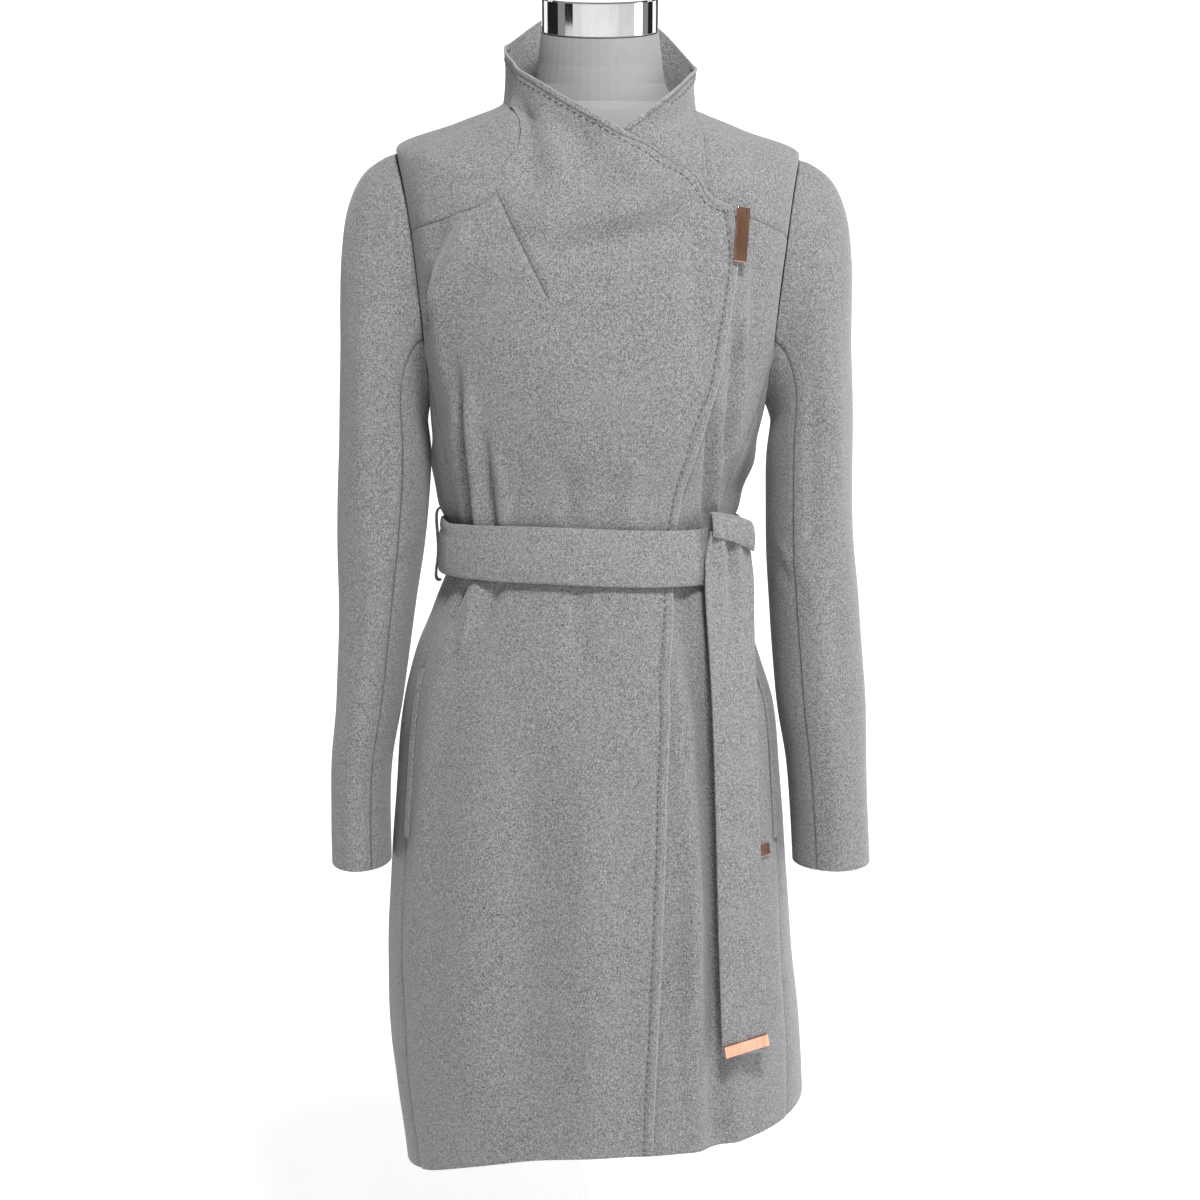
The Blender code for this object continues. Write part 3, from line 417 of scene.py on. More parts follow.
def shoulder_seam(side):
    tip = ARM_MIDDLE + ARM_HALF
    return [(side * 90.0, tip + (NECK_RISE - tip) * k / YOKE_COLS) for k in range(YOKE_COLS + 1)]


def free_edge(edge):
    """A front's free edge: turn for each rise."""
    line = seen_line(edge[::-1])
    line[0] = (line[0][0], RINGS[0][0] + HEM_LIFT)
    return line, Curve([rise for _, rise in line], [turn for turn, _ in line])


def collar_top(side, top_edge):
    return resample([(side * COLLAR_END, COLLAR_TOP), (side * 94.0, COLLAR_TOP - 0.002),
                     (side * 84.0, COLLAR_TOP - 0.010)] + seen_line(top_edge[1:]), CREASE_ROWS + CHEST_COLS)


def front_grids(side, edge, top_edge):
    """Grids of a front: the body up to the yoke seam and lapel, and the collar that is cut on to it."""
    line, turns = free_edge(edge)
    outer = side_front_seam(side)
    outer += [armhole_point(side, k) for k in range(SEAM_STEP - 1, YOKE_STEP - 1, -1)]
    share = [(rise - outer[0][1]) / (outer[-1][1] - outer[0][1]) for _, rise in outer]
    climb = LAPEL_RISE - line[0][1]
    free = [(float(turns(line[0][1] + climb * s)), line[0][1] + climb * s) for s in share]
    yoke = yoke_seam(side)
    chest = resample([yoke[-1], free[-1]], CHEST_COLS)
    bottom = resample([outer[0], free[0]], YOKE_COLS + CHEST_COLS)
    body = between(outer, free, bottom, yoke[:-1] + chest, share)
    end = collar_end(side)
    corner = [(float(turns(rise)), rise) for rise in np.linspace(LAPEL_RISE, line[-1][1], len(end))]
    neck = neck_crease(side)[::-1]
    collar = between(end, corner, neck[:-1] + chest, collar_top(side, top_edge))
    return [body, collar] if side < 0 else [body[:, ::-1], collar[:, ::-1]]


# ---------------------------------------------------------------- fine shells
def refine(grid, rows, cols):
    """A grid with rows and cols steps in each cell, on smooth curves through its points."""
    for axis, count in ((0, rows), (1, cols)):
        grid = np.moveaxis(np.asarray(grid, float), axis, 0)
        last = len(grid) - 1
        padded = np.concatenate([[2 * grid[0] - grid[1]], grid, [2 * grid[-1] - grid[-2]]])
        place = np.linspace(0, last, last * count + 1)
        i = np.minimum(place.astype(int), last - 1)
        t = (place - i).reshape(-1, *([1] * (grid.ndim - 1)))
        a, b, c, d = padded[i], padded[i + 1], padded[i + 2], padded[i + 3]
        grid = 0.5 * (2 * b + (c - a) * t + (2 * a - 5 * b + 4 * c - d) * t ** 2
                      + (3 * b - a - 3 * c + d) * t ** 3)
        grid = np.moveaxis(grid, 0, axis)
    return grid


def steps_for(points):
    """How many steps a coarse grid's cells take, down and across, to reach the wanted cell size."""
    down = np.linalg.norm(np.diff(points, axis=0), axis=-1).mean()
    across = np.linalg.norm(np.diff(points, axis=1), axis=-1).mean()
    return max(1, round(down / CELL)), max(1, round(across / CELL))


def grid_normals(points):
    return unit(np.cross(np.gradient(points, axis=1), np.gradient(points, axis=0)))


def edge_distance(points):
    """Distance of each point from the grid's first and last column and first and last row."""
    out = []
    for axis in (1, 0):
        step = np.linalg.norm(np.diff(points, axis=axis), axis=-1)
        start = np.zeros_like(np.take(step, [0], axis=axis))
        run = np.concatenate([start, np.cumsum(step, axis=axis)], axis=axis)
        out += [run, np.take(run, [-1], axis=axis) - run]
    return out


def crease_depth(piece, points, turn, rise):
    """Sum of the creases listed for one piece."""
    total = np.zeros(turn.shape)
    for name, kind, a_0, b_0, a_1, b_1, depth, width in CREASES:
        if name != piece:
            continue
        ends = (locate(a_0, b_0), locate(a_1, b_1)) if kind == "seen" else ((a_0, b_0), (a_1, b_1))
        start, end = (body_surface(*e) for e in ends)
        line = end - start
        along = ((points - start) @ line) / (line @ line)
        off = np.linalg.norm(points - start - np.clip(along, -0.3, 1.3)[..., None] * line, axis=-1)
        fade = smoothstep(-0.22, 0.25, along) * smoothstep(1.22, 0.80, along)
        total += CREASE_SCALE * depth * fade * np.exp(-(off / width) ** 2)
    return total


def ripple(points, size):
    """Slow unevenness that cloth always has."""
    x, y, z = (points[..., i] for i in range(3))
    return size * (np.sin(31 * x + 17 * z + 1.3) * np.sin(23 * z - 19 * y + 0.4)
                   + 0.6 * np.sin(53 * x - 29 * z + 2.1) * np.sin(47 * y + 41 * z))


class Shell:
    """Collects grids of points into one cloth wall with attributes for its shader."""

    def __init__(self, name, wall, closed=False):
        self.name, self.wall, self.closed = name, wall, closed
        self.points, self.faces, self.values = [], [], {}

    def add(self, points, **values):
        rows, cols = points.shape[:2]
        first = sum(len(p) for p in self.points)
        index = first + np.arange(rows * cols).reshape(rows, cols)
        if self.closed:
            index = np.concatenate([index, index[:, :1]], axis=1)
        self.faces.append(np.stack([index[:-1, :-1], index[:-1, 1:], index[1:, 1:], index[1:, :-1]],
                                   axis=-1).reshape(-1, 4))
        self.points.append(points.reshape(-1, 3))
        for name, value in values.items():
            self.values.setdefault(name, []).append(np.broadcast_to(value, (rows, cols)).reshape(-1))

    def build(self, finish):
        mesh = bpy.data.meshes.new(self.name)
        mesh.from_pydata(np.concatenate(self.points).tolist(), [], np.concatenate(self.faces).tolist())
        for name, value in self.values.items():
            layer = mesh.attributes.new(name, "FLOAT", "POINT")
            layer.data.foreach_set("value", np.concatenate(value).astype(np.float32))
        if len(self.points) > 1:
            joined = bmesh.new()
            joined.from_mesh(mesh)
            bmesh.ops.remove_doubles(joined, verts=joined.verts, dist=0.00002)
            joined.to_mesh(mesh)
            joined.free()
        made = bpy.data.objects.new(self.name + "_cloth", mesh)
        bpy.context.scene.collection.objects.link(made)
        solid = made.modifiers.new("wall", "SOLIDIFY")
        solid.thickness, solid.offset, solid.use_even_offset = self.wall, 0.0, False
        soft = made.modifiers.new("edge", "BEVEL")
        soft.width, soft.segments, soft.limit_method = self.wall * 0.32, 2, "ANGLE"
        soft.angle_limit = math.radians(60)
        soft.use_clamp_overlap = True
        made = applied(made)
        made.data.materials.append(finish)
        made.data.shade_smooth()
        made.data.set_sharp_from_angle(angle=math.radians(70))
        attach(made, "root")
        if self.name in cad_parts:
            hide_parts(self.name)
        return made


def applied(made):
    """The object with its modifiers worked into a plain mesh."""
    bpy.context.view_layer.update()
    ready = made.evaluated_get(bpy.context.evaluated_depsgraph_get())
    mesh = bpy.data.meshes.new_from_object(ready)
    made.modifiers.clear()
    made.data = mesh
    return made


def pull_in(points, gap):
    out = points.copy()
    out[:, 0] += unit(points[:, 1] - points[:, 0]) * gap
    out[:, -1] += unit(points[:, -2] - points[:, -1]) * gap
    out[0] += unit(points[1] - points[0]) * gap
    out[-1] += unit(points[-2] - points[-1]) * gap
    return out


SEAM_SINK = 0.0011       # how far a seam sinks into the cloth
SEAM_SOFT = 0.0045


def seam_value(points, seams):
    """Distance from the nearest sewn border, at most 20 mm; seams holds first/last column, first/last row."""
    near = np.full(points.shape[:2], 0.02)
    for distance, sewn in zip(edge_distance(points), seams):
        if sewn:
            near = np.minimum(near, distance)
    return near


def cloth_grid(shell, piece, grid, out, seams, gap=0.0, free=(False, False, False, False)):
    """Add one grid of turn and rise to a shell, with its folds, creases and sunk seams."""
    coarse = body_surface(grid[..., 0], grid[..., 1])
    fine = refine(grid, *steps_for(coarse))
    turn, rise = fine[..., 0], fine[..., 1]
    plain = body_surface(turn, rise)
    lift = out(turn) if out else np.zeros(turn.shape)
    seam = seam_value(plain, seams)
    held = smoothstep(0.0, 0.020, seam)
    depth = crease_depth(piece, plain, turn, rise) * (0.25 + 0.75 * held) + ripple(plain, 0.0004)
    depth -= SEAM_SINK * np.exp(-(seam / SEAM_SOFT) ** 2)
    points = body_at(turn, rise, lift + depth)
    if gap:
        points = pull_in(points, gap)
    dart, on = dart_values(points) if piece == "right_front" else (0.02, 0.0)
    # The seam and rim values are distances from sewn and free borders; the wool's shader uses them for
    # painted shade in the seams and a painted highlight and groove shade along free edges.
    shell.add(points, seam=seam, dart=dart, dart_on=on, rim=seam_value(plain, free))
    return points


def dart_values(points):
    """Signed distance across the dart's line, and how much of the dart is there."""
    line = np.array([body_surface(t, r) for t, r in DART])
    start, end = line[0], line[-1]
    way = unit(end - start)
    facing = body_normal(*DART[2])
    across = np.cross(facing, way)
    away = points - start
    along = away @ way / np.linalg.norm(end - start)
    bow = (line[2] - start) @ across
    middle = 4 * bow * np.clip(along, 0, 1) * (1 - np.clip(along, 0, 1))
    return np.clip(away @ across - middle, -0.02, 0.02), (smoothstep(-0.02, 0.03, along)
                                                         * smoothstep(1.02, 0.90, along))


def over_left_front(turn):
    """The right front lies on the left front: it rises from its side seam to clear it."""
    return OVERLAP_RISE * smoothstep(-66, -50, turn)


# ---------------------------------------------------------------- materials
class Socket:
    """A shader value that Python's operators combine into Math nodes."""

    def __init__(self, tree, link):
        self.tree, self.link = tree, link

    def _math(self, kind, *others, flip=False):
        items = (others[0], self) if flip else (self, *others)
        return self.tree.node("ShaderNodeMath", {"operation": kind}, *items)

    def __add__(self, other):
        return self._math("ADD", other)

    def __radd__(self, other):
        return self._math("ADD", other, flip=True)

    def __sub__(self, other):
        return self._math("SUBTRACT", other)

    def __rsub__(self, other):
        return self._math("SUBTRACT", other, flip=True)

    def __mul__(self, other):
        return self._math("MULTIPLY", other)

    def __rmul__(self, other):
        return self._math("MULTIPLY", other, flip=True)

    def __truediv__(self, other):
        return self._math("DIVIDE", other)

    def __rtruediv__(self, other):
        return self._math("DIVIDE", other, flip=True)

    def __pow__(self, other):
        return self._math("POWER", other)

    def __rpow__(self, other):
        return self._math("POWER", other, flip=True)

    def __neg__(self):
        return self._math("MULTIPLY", -1.0)

    def abs(self):
        return self._math("ABSOLUTE")

    def most(self, other):
        return self._math("MAXIMUM", other)


class Tree:
    """A material's node tree, with the shader's constants set by name."""

    def __init__(self, name, **constants):
        self.material = bpy.data.materials.new(name)
        self.material.use_nodes = True
        self.nodes, self.links = self.material.node_tree.nodes, self.material.node_tree.links
        self.shader = self.nodes["Principled BSDF"]
        for key, value in constants.items():
            self.shader.inputs[key.replace("_", " ")].default_value = value

    def node(self, kind, settings=None, *values, out=0, **named):
        made = self.nodes.new(kind)
        for key, value in (settings or {}).items():
            setattr(made, key, value)
        for key, value in [*enumerate(values), *named.items()]:
            socket = made.inputs[key.replace("_", " ") if isinstance(key, str) else key]
            if isinstance(value, Socket):
                self.links.new(value.link, socket)
            else:
                socket.default_value = value
        return Socket(self, made.outputs[out])

    def attribute(self, name):
        return self.node("ShaderNodeAttribute", {"attribute_name": name}, out="Fac")

    def place(self, scale=(1, 1, 1), turn=(0, 0, 0)):
        where = self.node("ShaderNodeTexCoord", out="Object")
        return self.node("ShaderNodeMapping", None, where, Scale=scale, Rotation=turn)

    def noise(self, scale, detail=3.0, roughness=0.6, where=None, distortion=0.0):
        return self.node("ShaderNodeTexNoise", None, Vector=where or self.place(), Scale=scale, Detail=detail,
                         Roughness=roughness, Distortion=distortion)

    def ramp(self, value, low, high):
        """0 at low to 1 at high, smooth and clamped."""
        return self.node("ShaderNodeMapRange", {"interpolation_type": "SMOOTHSTEP"},
                         value, low, high, 0.0, 1.0)

    def mix(self, factor, first, second):
        made = self.nodes.new("ShaderNodeMix")
        made.data_type = "RGBA"
        sockets = [s for s in made.inputs if s.enabled]
        for socket, value in zip(sockets, (factor, first, second)):
            if isinstance(value, Socket):
                self.links.new(value.link, socket)
            else:
                socket.default_value = value
        return Socket(self, [s for s in made.outputs if s.enabled][0])

    def bump(self, height, distance, strength=1.0):
        return self.node("ShaderNodeBump", None, Height=height, Distance=distance, Strength=strength)

    def put(self, **inputs):
        for key, value in inputs.items():
            self.links.new(value.link, self.shader.inputs[key.replace("_", " ")])
        return self.material


def grey(level, tint=(1.0, 1.0, 1.02)):
    return (level * tint[0], level * tint[1], level * tint[2], 1.0)


def make_wool(name, level, contrast=1.0):
    """Brushed wool melton of mixed light and dark fibres, with painted shade in its seams, along the dart and
    in the stitch groove by free edges, and a painted highlight along free edges.
    """
    tree = Tree(name, Sheen_Weight=0.22, Sheen_Roughness=0.55, Specular_IOR_Level=0.18)
    fibre = tree.noise(1050.0, 3.0, 0.75, tree.place((1.0, 1.0, 0.7), (0.0, 0.35, 0.0)), 0.3)
    tuft = tree.noise(420.0, 3.0, 0.65)
    cloud = tree.noise(26.0, 2.0, 0.5)
    dark_hair = tree.ramp(tree.noise(1300.0, 2.0, 0.5, tree.place((0.4, 1.0, 1.0), (0.0, -0.6, 0.0))),
                          0.60, 0.72)
    light_hair = tree.ramp(tree.noise(1200.0, 2.0, 0.5, tree.place((1.0, 1.0, 0.4), (0.0, 0.5, 0.0))),
                           0.60, 0.72)
    blend = tree.ramp(fibre * 0.78 + tuft * 0.22, 0.38, 0.62)
    colour = tree.mix(blend, grey(level * (1 - 0.42 * contrast)), grey(level * (1 + 0.42 * contrast)))
    colour = tree.mix(dark_hair * 0.75, colour, grey(level * 0.38))
    colour = tree.mix(light_hair * 0.72, colour, grey(min(level * 2.3, 0.8)))
    colour = tree.mix(tree.ramp(cloud, 0.35, 0.65) * 0.16, colour, grey(level * 1.25))
    # Painted shade: the cloth is mixed darker along the seams and the dart's line, standing in for the shade
    # in their sunk grooves.
    seam = tree.ramp(tree.attribute("seam"), 0.0020, 0.0002)
    dart = tree.ramp(tree.attribute("dart").abs(), 0.0016, 0.0003) * tree.attribute("dart_on")
    line = (seam * 0.36).most(dart * 0.62)
    colour = tree.mix(line, colour, grey(level * 0.22))
    rim = tree.attribute("rim")
    # Painted highlight: the cloth is mixed lighter within about 2 mm of a free edge, where the rolled edge
    # catches the light.
    colour = tree.mix(tree.ramp(rim, 0.0022, 0.0004) * 0.34, colour, grey(level * 2.0))
    # Painted shade: a band 5 to 12 mm inside a free edge is mixed darker, standing in for the shade in the
    # stitch groove; the same band also sinks the bump below.
    stitch_groove_and_shade = tree.ramp(rim, 0.0050, 0.0080) * tree.ramp(rim, 0.0118, 0.0088)
    colour = tree.mix(stitch_groove_and_shade * 0.20, colour, grey(level * 0.45))
    pinch = tree.ramp(tree.attribute("dart").abs(), 0.0060, 0.0) * tree.attribute("dart_on")
    height = fibre * 0.55 + tuft * 0.45
    fine = tree.bump(height, 0.0007, 0.55)
    sunk = tree.node("ShaderNodeBump", None, Height=1.0 - pinch.most(stitch_groove_and_shade * 0.6),
                     Distance=0.0016, Strength=0.9, Normal=fine)
    rough = 0.86 + 0.1 * tuft
    return tree.put(Base_Color=colour, Roughness=rough, Normal=sunk)


def make_form_cloth():
    """Tight cotton jersey, its ribs running up the neck."""
    tree = Tree("form_jersey", Sheen_Weight=0.12, Specular_IOR_Level=0.2)
    ribs = tree.noise(1500.0, 2.0, 0.5, tree.place((1.0, 1.0, 0.25)))
    weave = tree.noise(1400.0, 2.0, 0.6)
    soft = tree.noise(30.0, 2.0, 0.5)
    colour = tree.mix(tree.ramp(ribs, 0.35, 0.65), grey(0.245, (1, 1, 1)), grey(0.265, (1, 1, 0.99)))
    colour = tree.mix(tree.ramp(soft, 0.3, 0.7) * 0.2, colour, grey(0.30, (1, 1, 1)))
    return tree.put(Base_Color=colour, Roughness=0.82 + 0.1 * weave,
                    Normal=tree.bump(ribs * 0.5 + weave * 0.5, 0.0002, 0.3))


def make_chrome():
    """Bright chrome plate with faint wiping marks."""
    tree = Tree("bright_chrome", Metallic=1.0, Specular_IOR_Level=0.5)
    marks = tree.noise(60.0, 3.0, 0.6, tree.place((1.0, 1.0, 0.08)))
    colour = tree.mix(tree.ramp(marks, 0.3, 0.7), grey(0.80, (1, 1, 1)), grey(0.90, (1, 1, 1.01)))
    return tree.put(Base_Color=colour, Roughness=0.035 + 0.05 * tree.ramp(marks, 0.45, 0.75),
                    Normal=tree.bump(marks, 0.0002, 0.15))


def make_rose():
    """Polished rose-gold plate, rubbed a little lighter in places."""
    tree = Tree("rose_plate", Metallic=1.0)
    wipe = tree.noise(190.0, 3.0, 0.6, tree.place((1.0, 1.0, 0.2)))
    spots = tree.noise(700.0, 2.0, 0.6)
    colour = tree.mix(tree.ramp(wipe, 0.3, 0.7), (0.58, 0.30, 0.20, 1), (0.74, 0.43, 0.31, 1))
    return tree.put(Base_Color=colour, Roughness=0.10 + 0.12 * tree.ramp(spots, 0.35, 0.75),
                    Normal=tree.bump(wipe, 0.0001, 0.2))


def make_thread():
    tree = Tree("grey_thread", Specular_IOR_Level=0.25, Sheen_Weight=0.1)
    twist = tree.noise(2200.0, 2.0, 0.6)
    colour = tree.mix(tree.ramp(twist, 0.35, 0.65), grey(0.045), grey(0.11))
    return tree.put(Base_Color=colour, Roughness=0.7 + 0.1 * twist, Normal=tree.bump(twist, 0.0002, 0.5))


WOOL = make_wool("wool_melton", 0.178, 1.5)
BELT_WOOL = make_wool("wool_melton_belt", 0.190, 1.4)
FORM_CLOTH = make_form_cloth()
CHROME = make_chrome()
ROSE = make_rose()
THREAD = make_thread()


# ---------------------------------------------------------------- coat pieces
def make_fronts():
    shell = Shell("right_front", WALL)
    body, collar = front_grids(-1, FRONT_EDGE, LAPEL_EDGE)
    cloth_grid(shell, "right_front", body, over_left_front, (True, False, False, False),
               free=(False, True, False, False))
    cloth_grid(shell, "right_front", collar, over_left_front, (True, False, False, False),
               free=(False, True, False, True))
    shell.build(WOOL)
    shell = Shell("left_front", WALL)
    body, collar = front_grids(1, UNDER_EDGE, UNDER_COLLAR_EDGE)
    cloth_grid(shell, "left_front", body, None, (False, True, False, False))
    cloth_grid(shell, "left_front", collar, None, (False, True, False, False),
               free=(False, False, False, True))
    shell.build(WOOL)


def make_panel(name, grid, seams, gap=0.0001, out=None):
    shell = Shell(name, WALL)
    cloth_grid(shell, name, grid, out, seams, gap)
    shell.build(WOOL)


def make_sides():
    for name, side in (("side_right", -1), ("side_left", 1)):
        front, back = side_front_seam(side), side_back_seam(side)
        top = [armhole_point(side, k) for k in range(SEAM_STEP, ARM_STEPS - SEAM_STEP + 1)]
        grid = between(front, back, hem_line(front[0][0], back[0][0], len(top) - 1), top)
        make_panel(name, grid if side > 0 else grid[:, ::-1], (True, True, False, True))


def make_yokes():
    for name, side in (("yoke_right", -1), ("yoke_left", 1)):
        arm = resample([armhole_point(side, k) for k in range(YOKE_STEP, -1, -1)], CREASE_ROWS)
        grid = between(arm, neck_crease(side), yoke_seam(side), shoulder_seam(side))
        seams = (True, False, True, True) if side < 0 else (True, True, True, True)
        make_panel(name, grid if side < 0 else grid[:, ::-1], seams, 0.0001,
                   over_left_front if side < 0 else None)


def make_back():
    sides = {}
    for side in (-1, 1):
        line = side_back_seam(side)
        line += [armhole_point(side, k) for k in range(ARM_STEPS - SEAM_STEP + 1, ARM_STEPS + 1)]
        line += shoulder_seam(side)[1:]
        sides[side] = [(t % 360, r) for t, r in line]
    neck = [(90 + 180 * i / BACK_COLS, NECK_RISE) for i in range(BACK_COLS + 1)]
    bottom = hem_line(sides[1][0][0], sides[-1][0][0], BACK_COLS)
    make_panel("back", between(sides[1], sides[-1], bottom, neck), (True, True, False, True))
    ends = {side: [(t % 360, r) for t, r in collar_end(side)] for side in (-1, 1)}
    high = [(COLLAR_END + (360 - 2 * COLLAR_END) * i / BACK_COLS, COLLAR_TOP) for i in range(BACK_COLS + 1)]
    make_panel("collar_back", between(ends[1], ends[-1], neck, high), (True, True, True, False), 0.0002)


def armhole_start(side, step):
    turn, rise = armhole_point(side, step)
    return body_surface(side * 90 + (turn - side * 90) * SLEEVE_INSET,
                        ARM_MIDDLE + (rise - ARM_MIDDLE) * SLEEVE_INSET)


def sleeve_rows(table, side, cap_rows=5, low_rows=9):
    """Rings of a sleeve: from the armhole, round the cap, and down to the cuff."""
    z = column(table, SLEEVE_COLUMNS, "z")
    curves = {name: Curve(z, column(table, SLEEVE_COLUMNS, name)) for name in SLEEVE_COLUMNS[1:]}

    def ring_point(angle, height):
        out = math.cos(angle)
        return np.array([side * (curves["x"](height) + curves["wide"](height) * out),
                         curves["y"](height) - curves["deep"](height) * math.sin(angle),
                         height + curves["tilt"](height) * out])

    angles = [2 * math.pi * k / ARM_STEPS for k in range(ARM_STEPS)]
    top = z.max()
    rows = []
    for t in np.arange(cap_rows) / cap_rows:
        row = []
        for k, angle in enumerate(angles):
            start, end = armhole_start(side, k), ring_point(angle, top)
            reach = np.linalg.norm(end - start)
            leave = np.array([side * (0.5 + 0.25 * (1 + math.cos(angle))), 0, -0.25]) * reach
            arrive = unit(ring_point(angle, top - 0.01) - end) * reach * 1.1
            row.append(start * (1 + 2 * t) * (1 - t) ** 2 + leave * t * (1 - t) ** 2
                       + end * t * t * (3 - 2 * t) + arrive * t * t * (t - 1))
        rows.append(row)
    rows += [[ring_point(angle, height) for angle in angles]
             for height in np.linspace(top, z.min(), low_rows + 1)]
    return np.array(rows)


SLEEVE_FRONT_STEP = 8    # round(125 / 15)
SLEEVE_BACK_STEP = 16    # round(235 / 15)


def sleeve_depth(side, points, angle):
    """Folds of one sleeve; angle is in degrees from its outer side, round the front."""
    total = np.zeros(angle.shape)
    for own, angle_0, z_0, angle_1, z_1, depth, width in SLEEVE_FOLDS:
        if own != side:
            continue
        along = (points[..., 2] - z_0) / (z_1 - z_0)
        middle = angle_0 + (angle_1 - angle_0) * np.clip(along, -0.3, 1.3)
        off = ((angle - middle + 180) % 360 - 180) * 0.0009
        total += (depth * smoothstep(-0.25, 0.25, along) * smoothstep(1.25, 0.75, along)
                  * np.exp(-(off / width) ** 2))
    return total


def make_sleeves():
    for name, side, table in (("sleeve_right", -1, SLEEVE_RIGHT), ("sleeve_left", 1, SLEEVE_LEFT)):
        rows = sleeve_rows(table, side)
        closed = np.concatenate([rows[:, -3:], rows, rows[:, :3]], axis=1)
        down, round_steps = steps_for(rows)
        fine = refine(closed, down, round_steps)[:, 3 * round_steps:(ARM_STEPS + 3) * round_steps + 1]
        angle = np.broadcast_to(np.linspace(0, 360, fine.shape[1]), fine.shape[:2])
        normal = grid_normals(fine)
        if (normal[-1, 0, 0] * side) < 0:
            normal = -normal
        run = edge_distance(fine)[2]
        ease = 0.0016 * np.exp(-(run / 0.020) ** 2) * (0.6 + 0.4 * np.sin(np.radians(angle) * 9))
        shift = sleeve_depth(side, fine, angle) + ripple(fine, 0.0004) + ease * smoothstep(0.0, 0.008, run)
        front, back = SLEEVE_FRONT_STEP * round_steps, SLEEVE_BACK_STEP * round_steps
        fine, shift = fine[:, :-1], shift[:, :-1]
        normal = normal[:, :-1]
        total = fine.shape[1]
        for part, steps in (("under", np.arange(front, back + 1)),
                            ("upper", np.arange(back, front + total + 1) % total)):
            base, push, facing = fine[:, steps], shift[:, steps], normal[:, steps]
            if side > 0:
                base, push, facing = base[:, ::-1], push[:, ::-1], facing[:, ::-1]
            seam = seam_value(base, (True, True, True, False))
            push = push * (0.2 + 0.8 * smoothstep(0, 0.012, seam)) - 0.0004 * np.exp(-(seam / 0.004) ** 2)
            shell = Shell(f"{name}_{part}", WALL)
            shell.add(pull_in(base + facing * push[..., None], SEAM_GAP),
                      seam=seam, dart=0.02, dart_on=0.0, rim=0.02)
            shell.build(WOOL)


# ---------------------------------------------------------------- belt
BELT_CREASES = (         # turn, across the belt from -1 to 1 at start and end, depth, half-width in degrees
    (-62.0, -0.9, 0.6, 0.0012, 3.0), (-48.0, 0.8, -0.2, -0.0011, 3.0), (-20.0, -1.0, 0.1, 0.0009, 4.0),
    (8.0, 1.0, -0.4, -0.0009, 4.0), (27.0, -0.7, 0.9, 0.0012, 3.0), (38.0, 0.9, -0.9, -0.0014, 2.6),
    (44.0, -0.9, 0.9, 0.0015, 2.4), (120.0, -0.8, 0.7, -0.0010, 4.0), (165.0, 0.9, -0.5, 0.0010, 5.0),
    (214.0, -0.9, 0.6, -0.0010, 4.0), (250.0, 0.7, -0.8, 0.0011, 4.0),
)


def belt_out(turn):
    over = smoothstep(-78, -62, turn) * smoothstep(48, 34, turn)
    return BELT_RISE + OVERLAP_RISE * over


def make_belt():
    count = 360
    turn = np.linspace(-180, 180, count, endpoint=False)[None, :]
    across = np.linspace(-1, 1, 15)[:, None]
    rise = BELT_HEIGHT + across * BELT_WIDTH / 2
    turn, rise = np.broadcast_arrays(turn, rise)
    depth = (0.0013 * (1 - across ** 4)
             - 0.0012 * np.exp(-((across - 0.52 - 0.05 * np.sin(np.radians(3 * turn))) / 0.10) ** 2))
    for at, low, high, size, wide in BELT_CREASES:
        off = (turn - at - 3.0 * across + 180) % 360 - 180
        depth = depth + (0.7 * size * np.exp(-(off / wide) ** 2)
                         * smoothstep(-1.2, 0.2, across * np.sign(high - low)))
    low_edge, high_edge = BELT_HEIGHT - BELT_WIDTH / 2, BELT_HEIGHT + BELT_WIDTH / 2
    share = (across + 1) / 2
    straight = (body_at(turn[0], np.full(count, low_edge), belt_out(turn[0]))[None] * (1 - share)[..., None]
                + body_at(turn[0], np.full(count, high_edge), belt_out(turn[0]))[None] * share[..., None])
    points = straight + body_normal(turn, rise) * np.maximum(depth, -0.0004)[..., None]
    points[..., 2] -= BELT_DROP * np.sin(np.radians(turn)) + 0.0006 * np.sin(np.radians(turn * 5))
    shell = Shell("belt_waist", BELT_WALL, closed=True)
    shell.add(points, seam=0.02, dart=0.02, dart_on=0.0, rim=0.02)
    shell.build(BELT_WOOL)
    return points


def make_tail():
    z = column(TAIL, TAIL_COLUMNS, "z")
    edge = {name: Curve(z, column(TAIL, TAIL_COLUMNS, name)) for name in TAIL_COLUMNS[1:]}
    height = np.linspace(z.min(), z.max(), 120)[:, None]
    u = np.linspace(0, 1, 13)[None, :]
    left = np.stack([edge["x_left"](height), edge["y_left"](height), height], -1)
    right = np.stack([edge["x_right"](height), edge["y_right"](height), height], -1)
    points = left * (1 - u)[..., None] + right * u[..., None]
    facing = unit(np.stack([edge["y_right"](height) - edge["y_left"](height),
                            -(edge["x_right"](height) - edge["x_left"](height)), 0 * height], -1))
    near = smoothstep(0.86, 0.975, height)
    pleats = near * (0.0040 * np.exp(-((u - 0.30) / 0.10) ** 2) - 0.0034 * np.exp(-((u - 0.50) / 0.09) ** 2)
                     + 0.0036 * np.exp(-((u - 0.70) / 0.10) ** 2)
                      - 0.0030 * np.exp(-((u - 0.88) / 0.07) ** 2))
    bow = (0.0016 * np.sin(np.pi * u) * (1 - near)
           + 0.0022 * (1 - near) * (2 * u - 1) * np.sin(8.5 * (height - 0.5)))
    points = points + facing * (pleats + bow)[..., None]
    shell = Shell("belt_tail", BELT_WALL)
    shell.add(points, seam=0.02, dart=0.02, dart_on=0.0, rim=0.02)
    shell.build(BELT_WOOL)
    return points


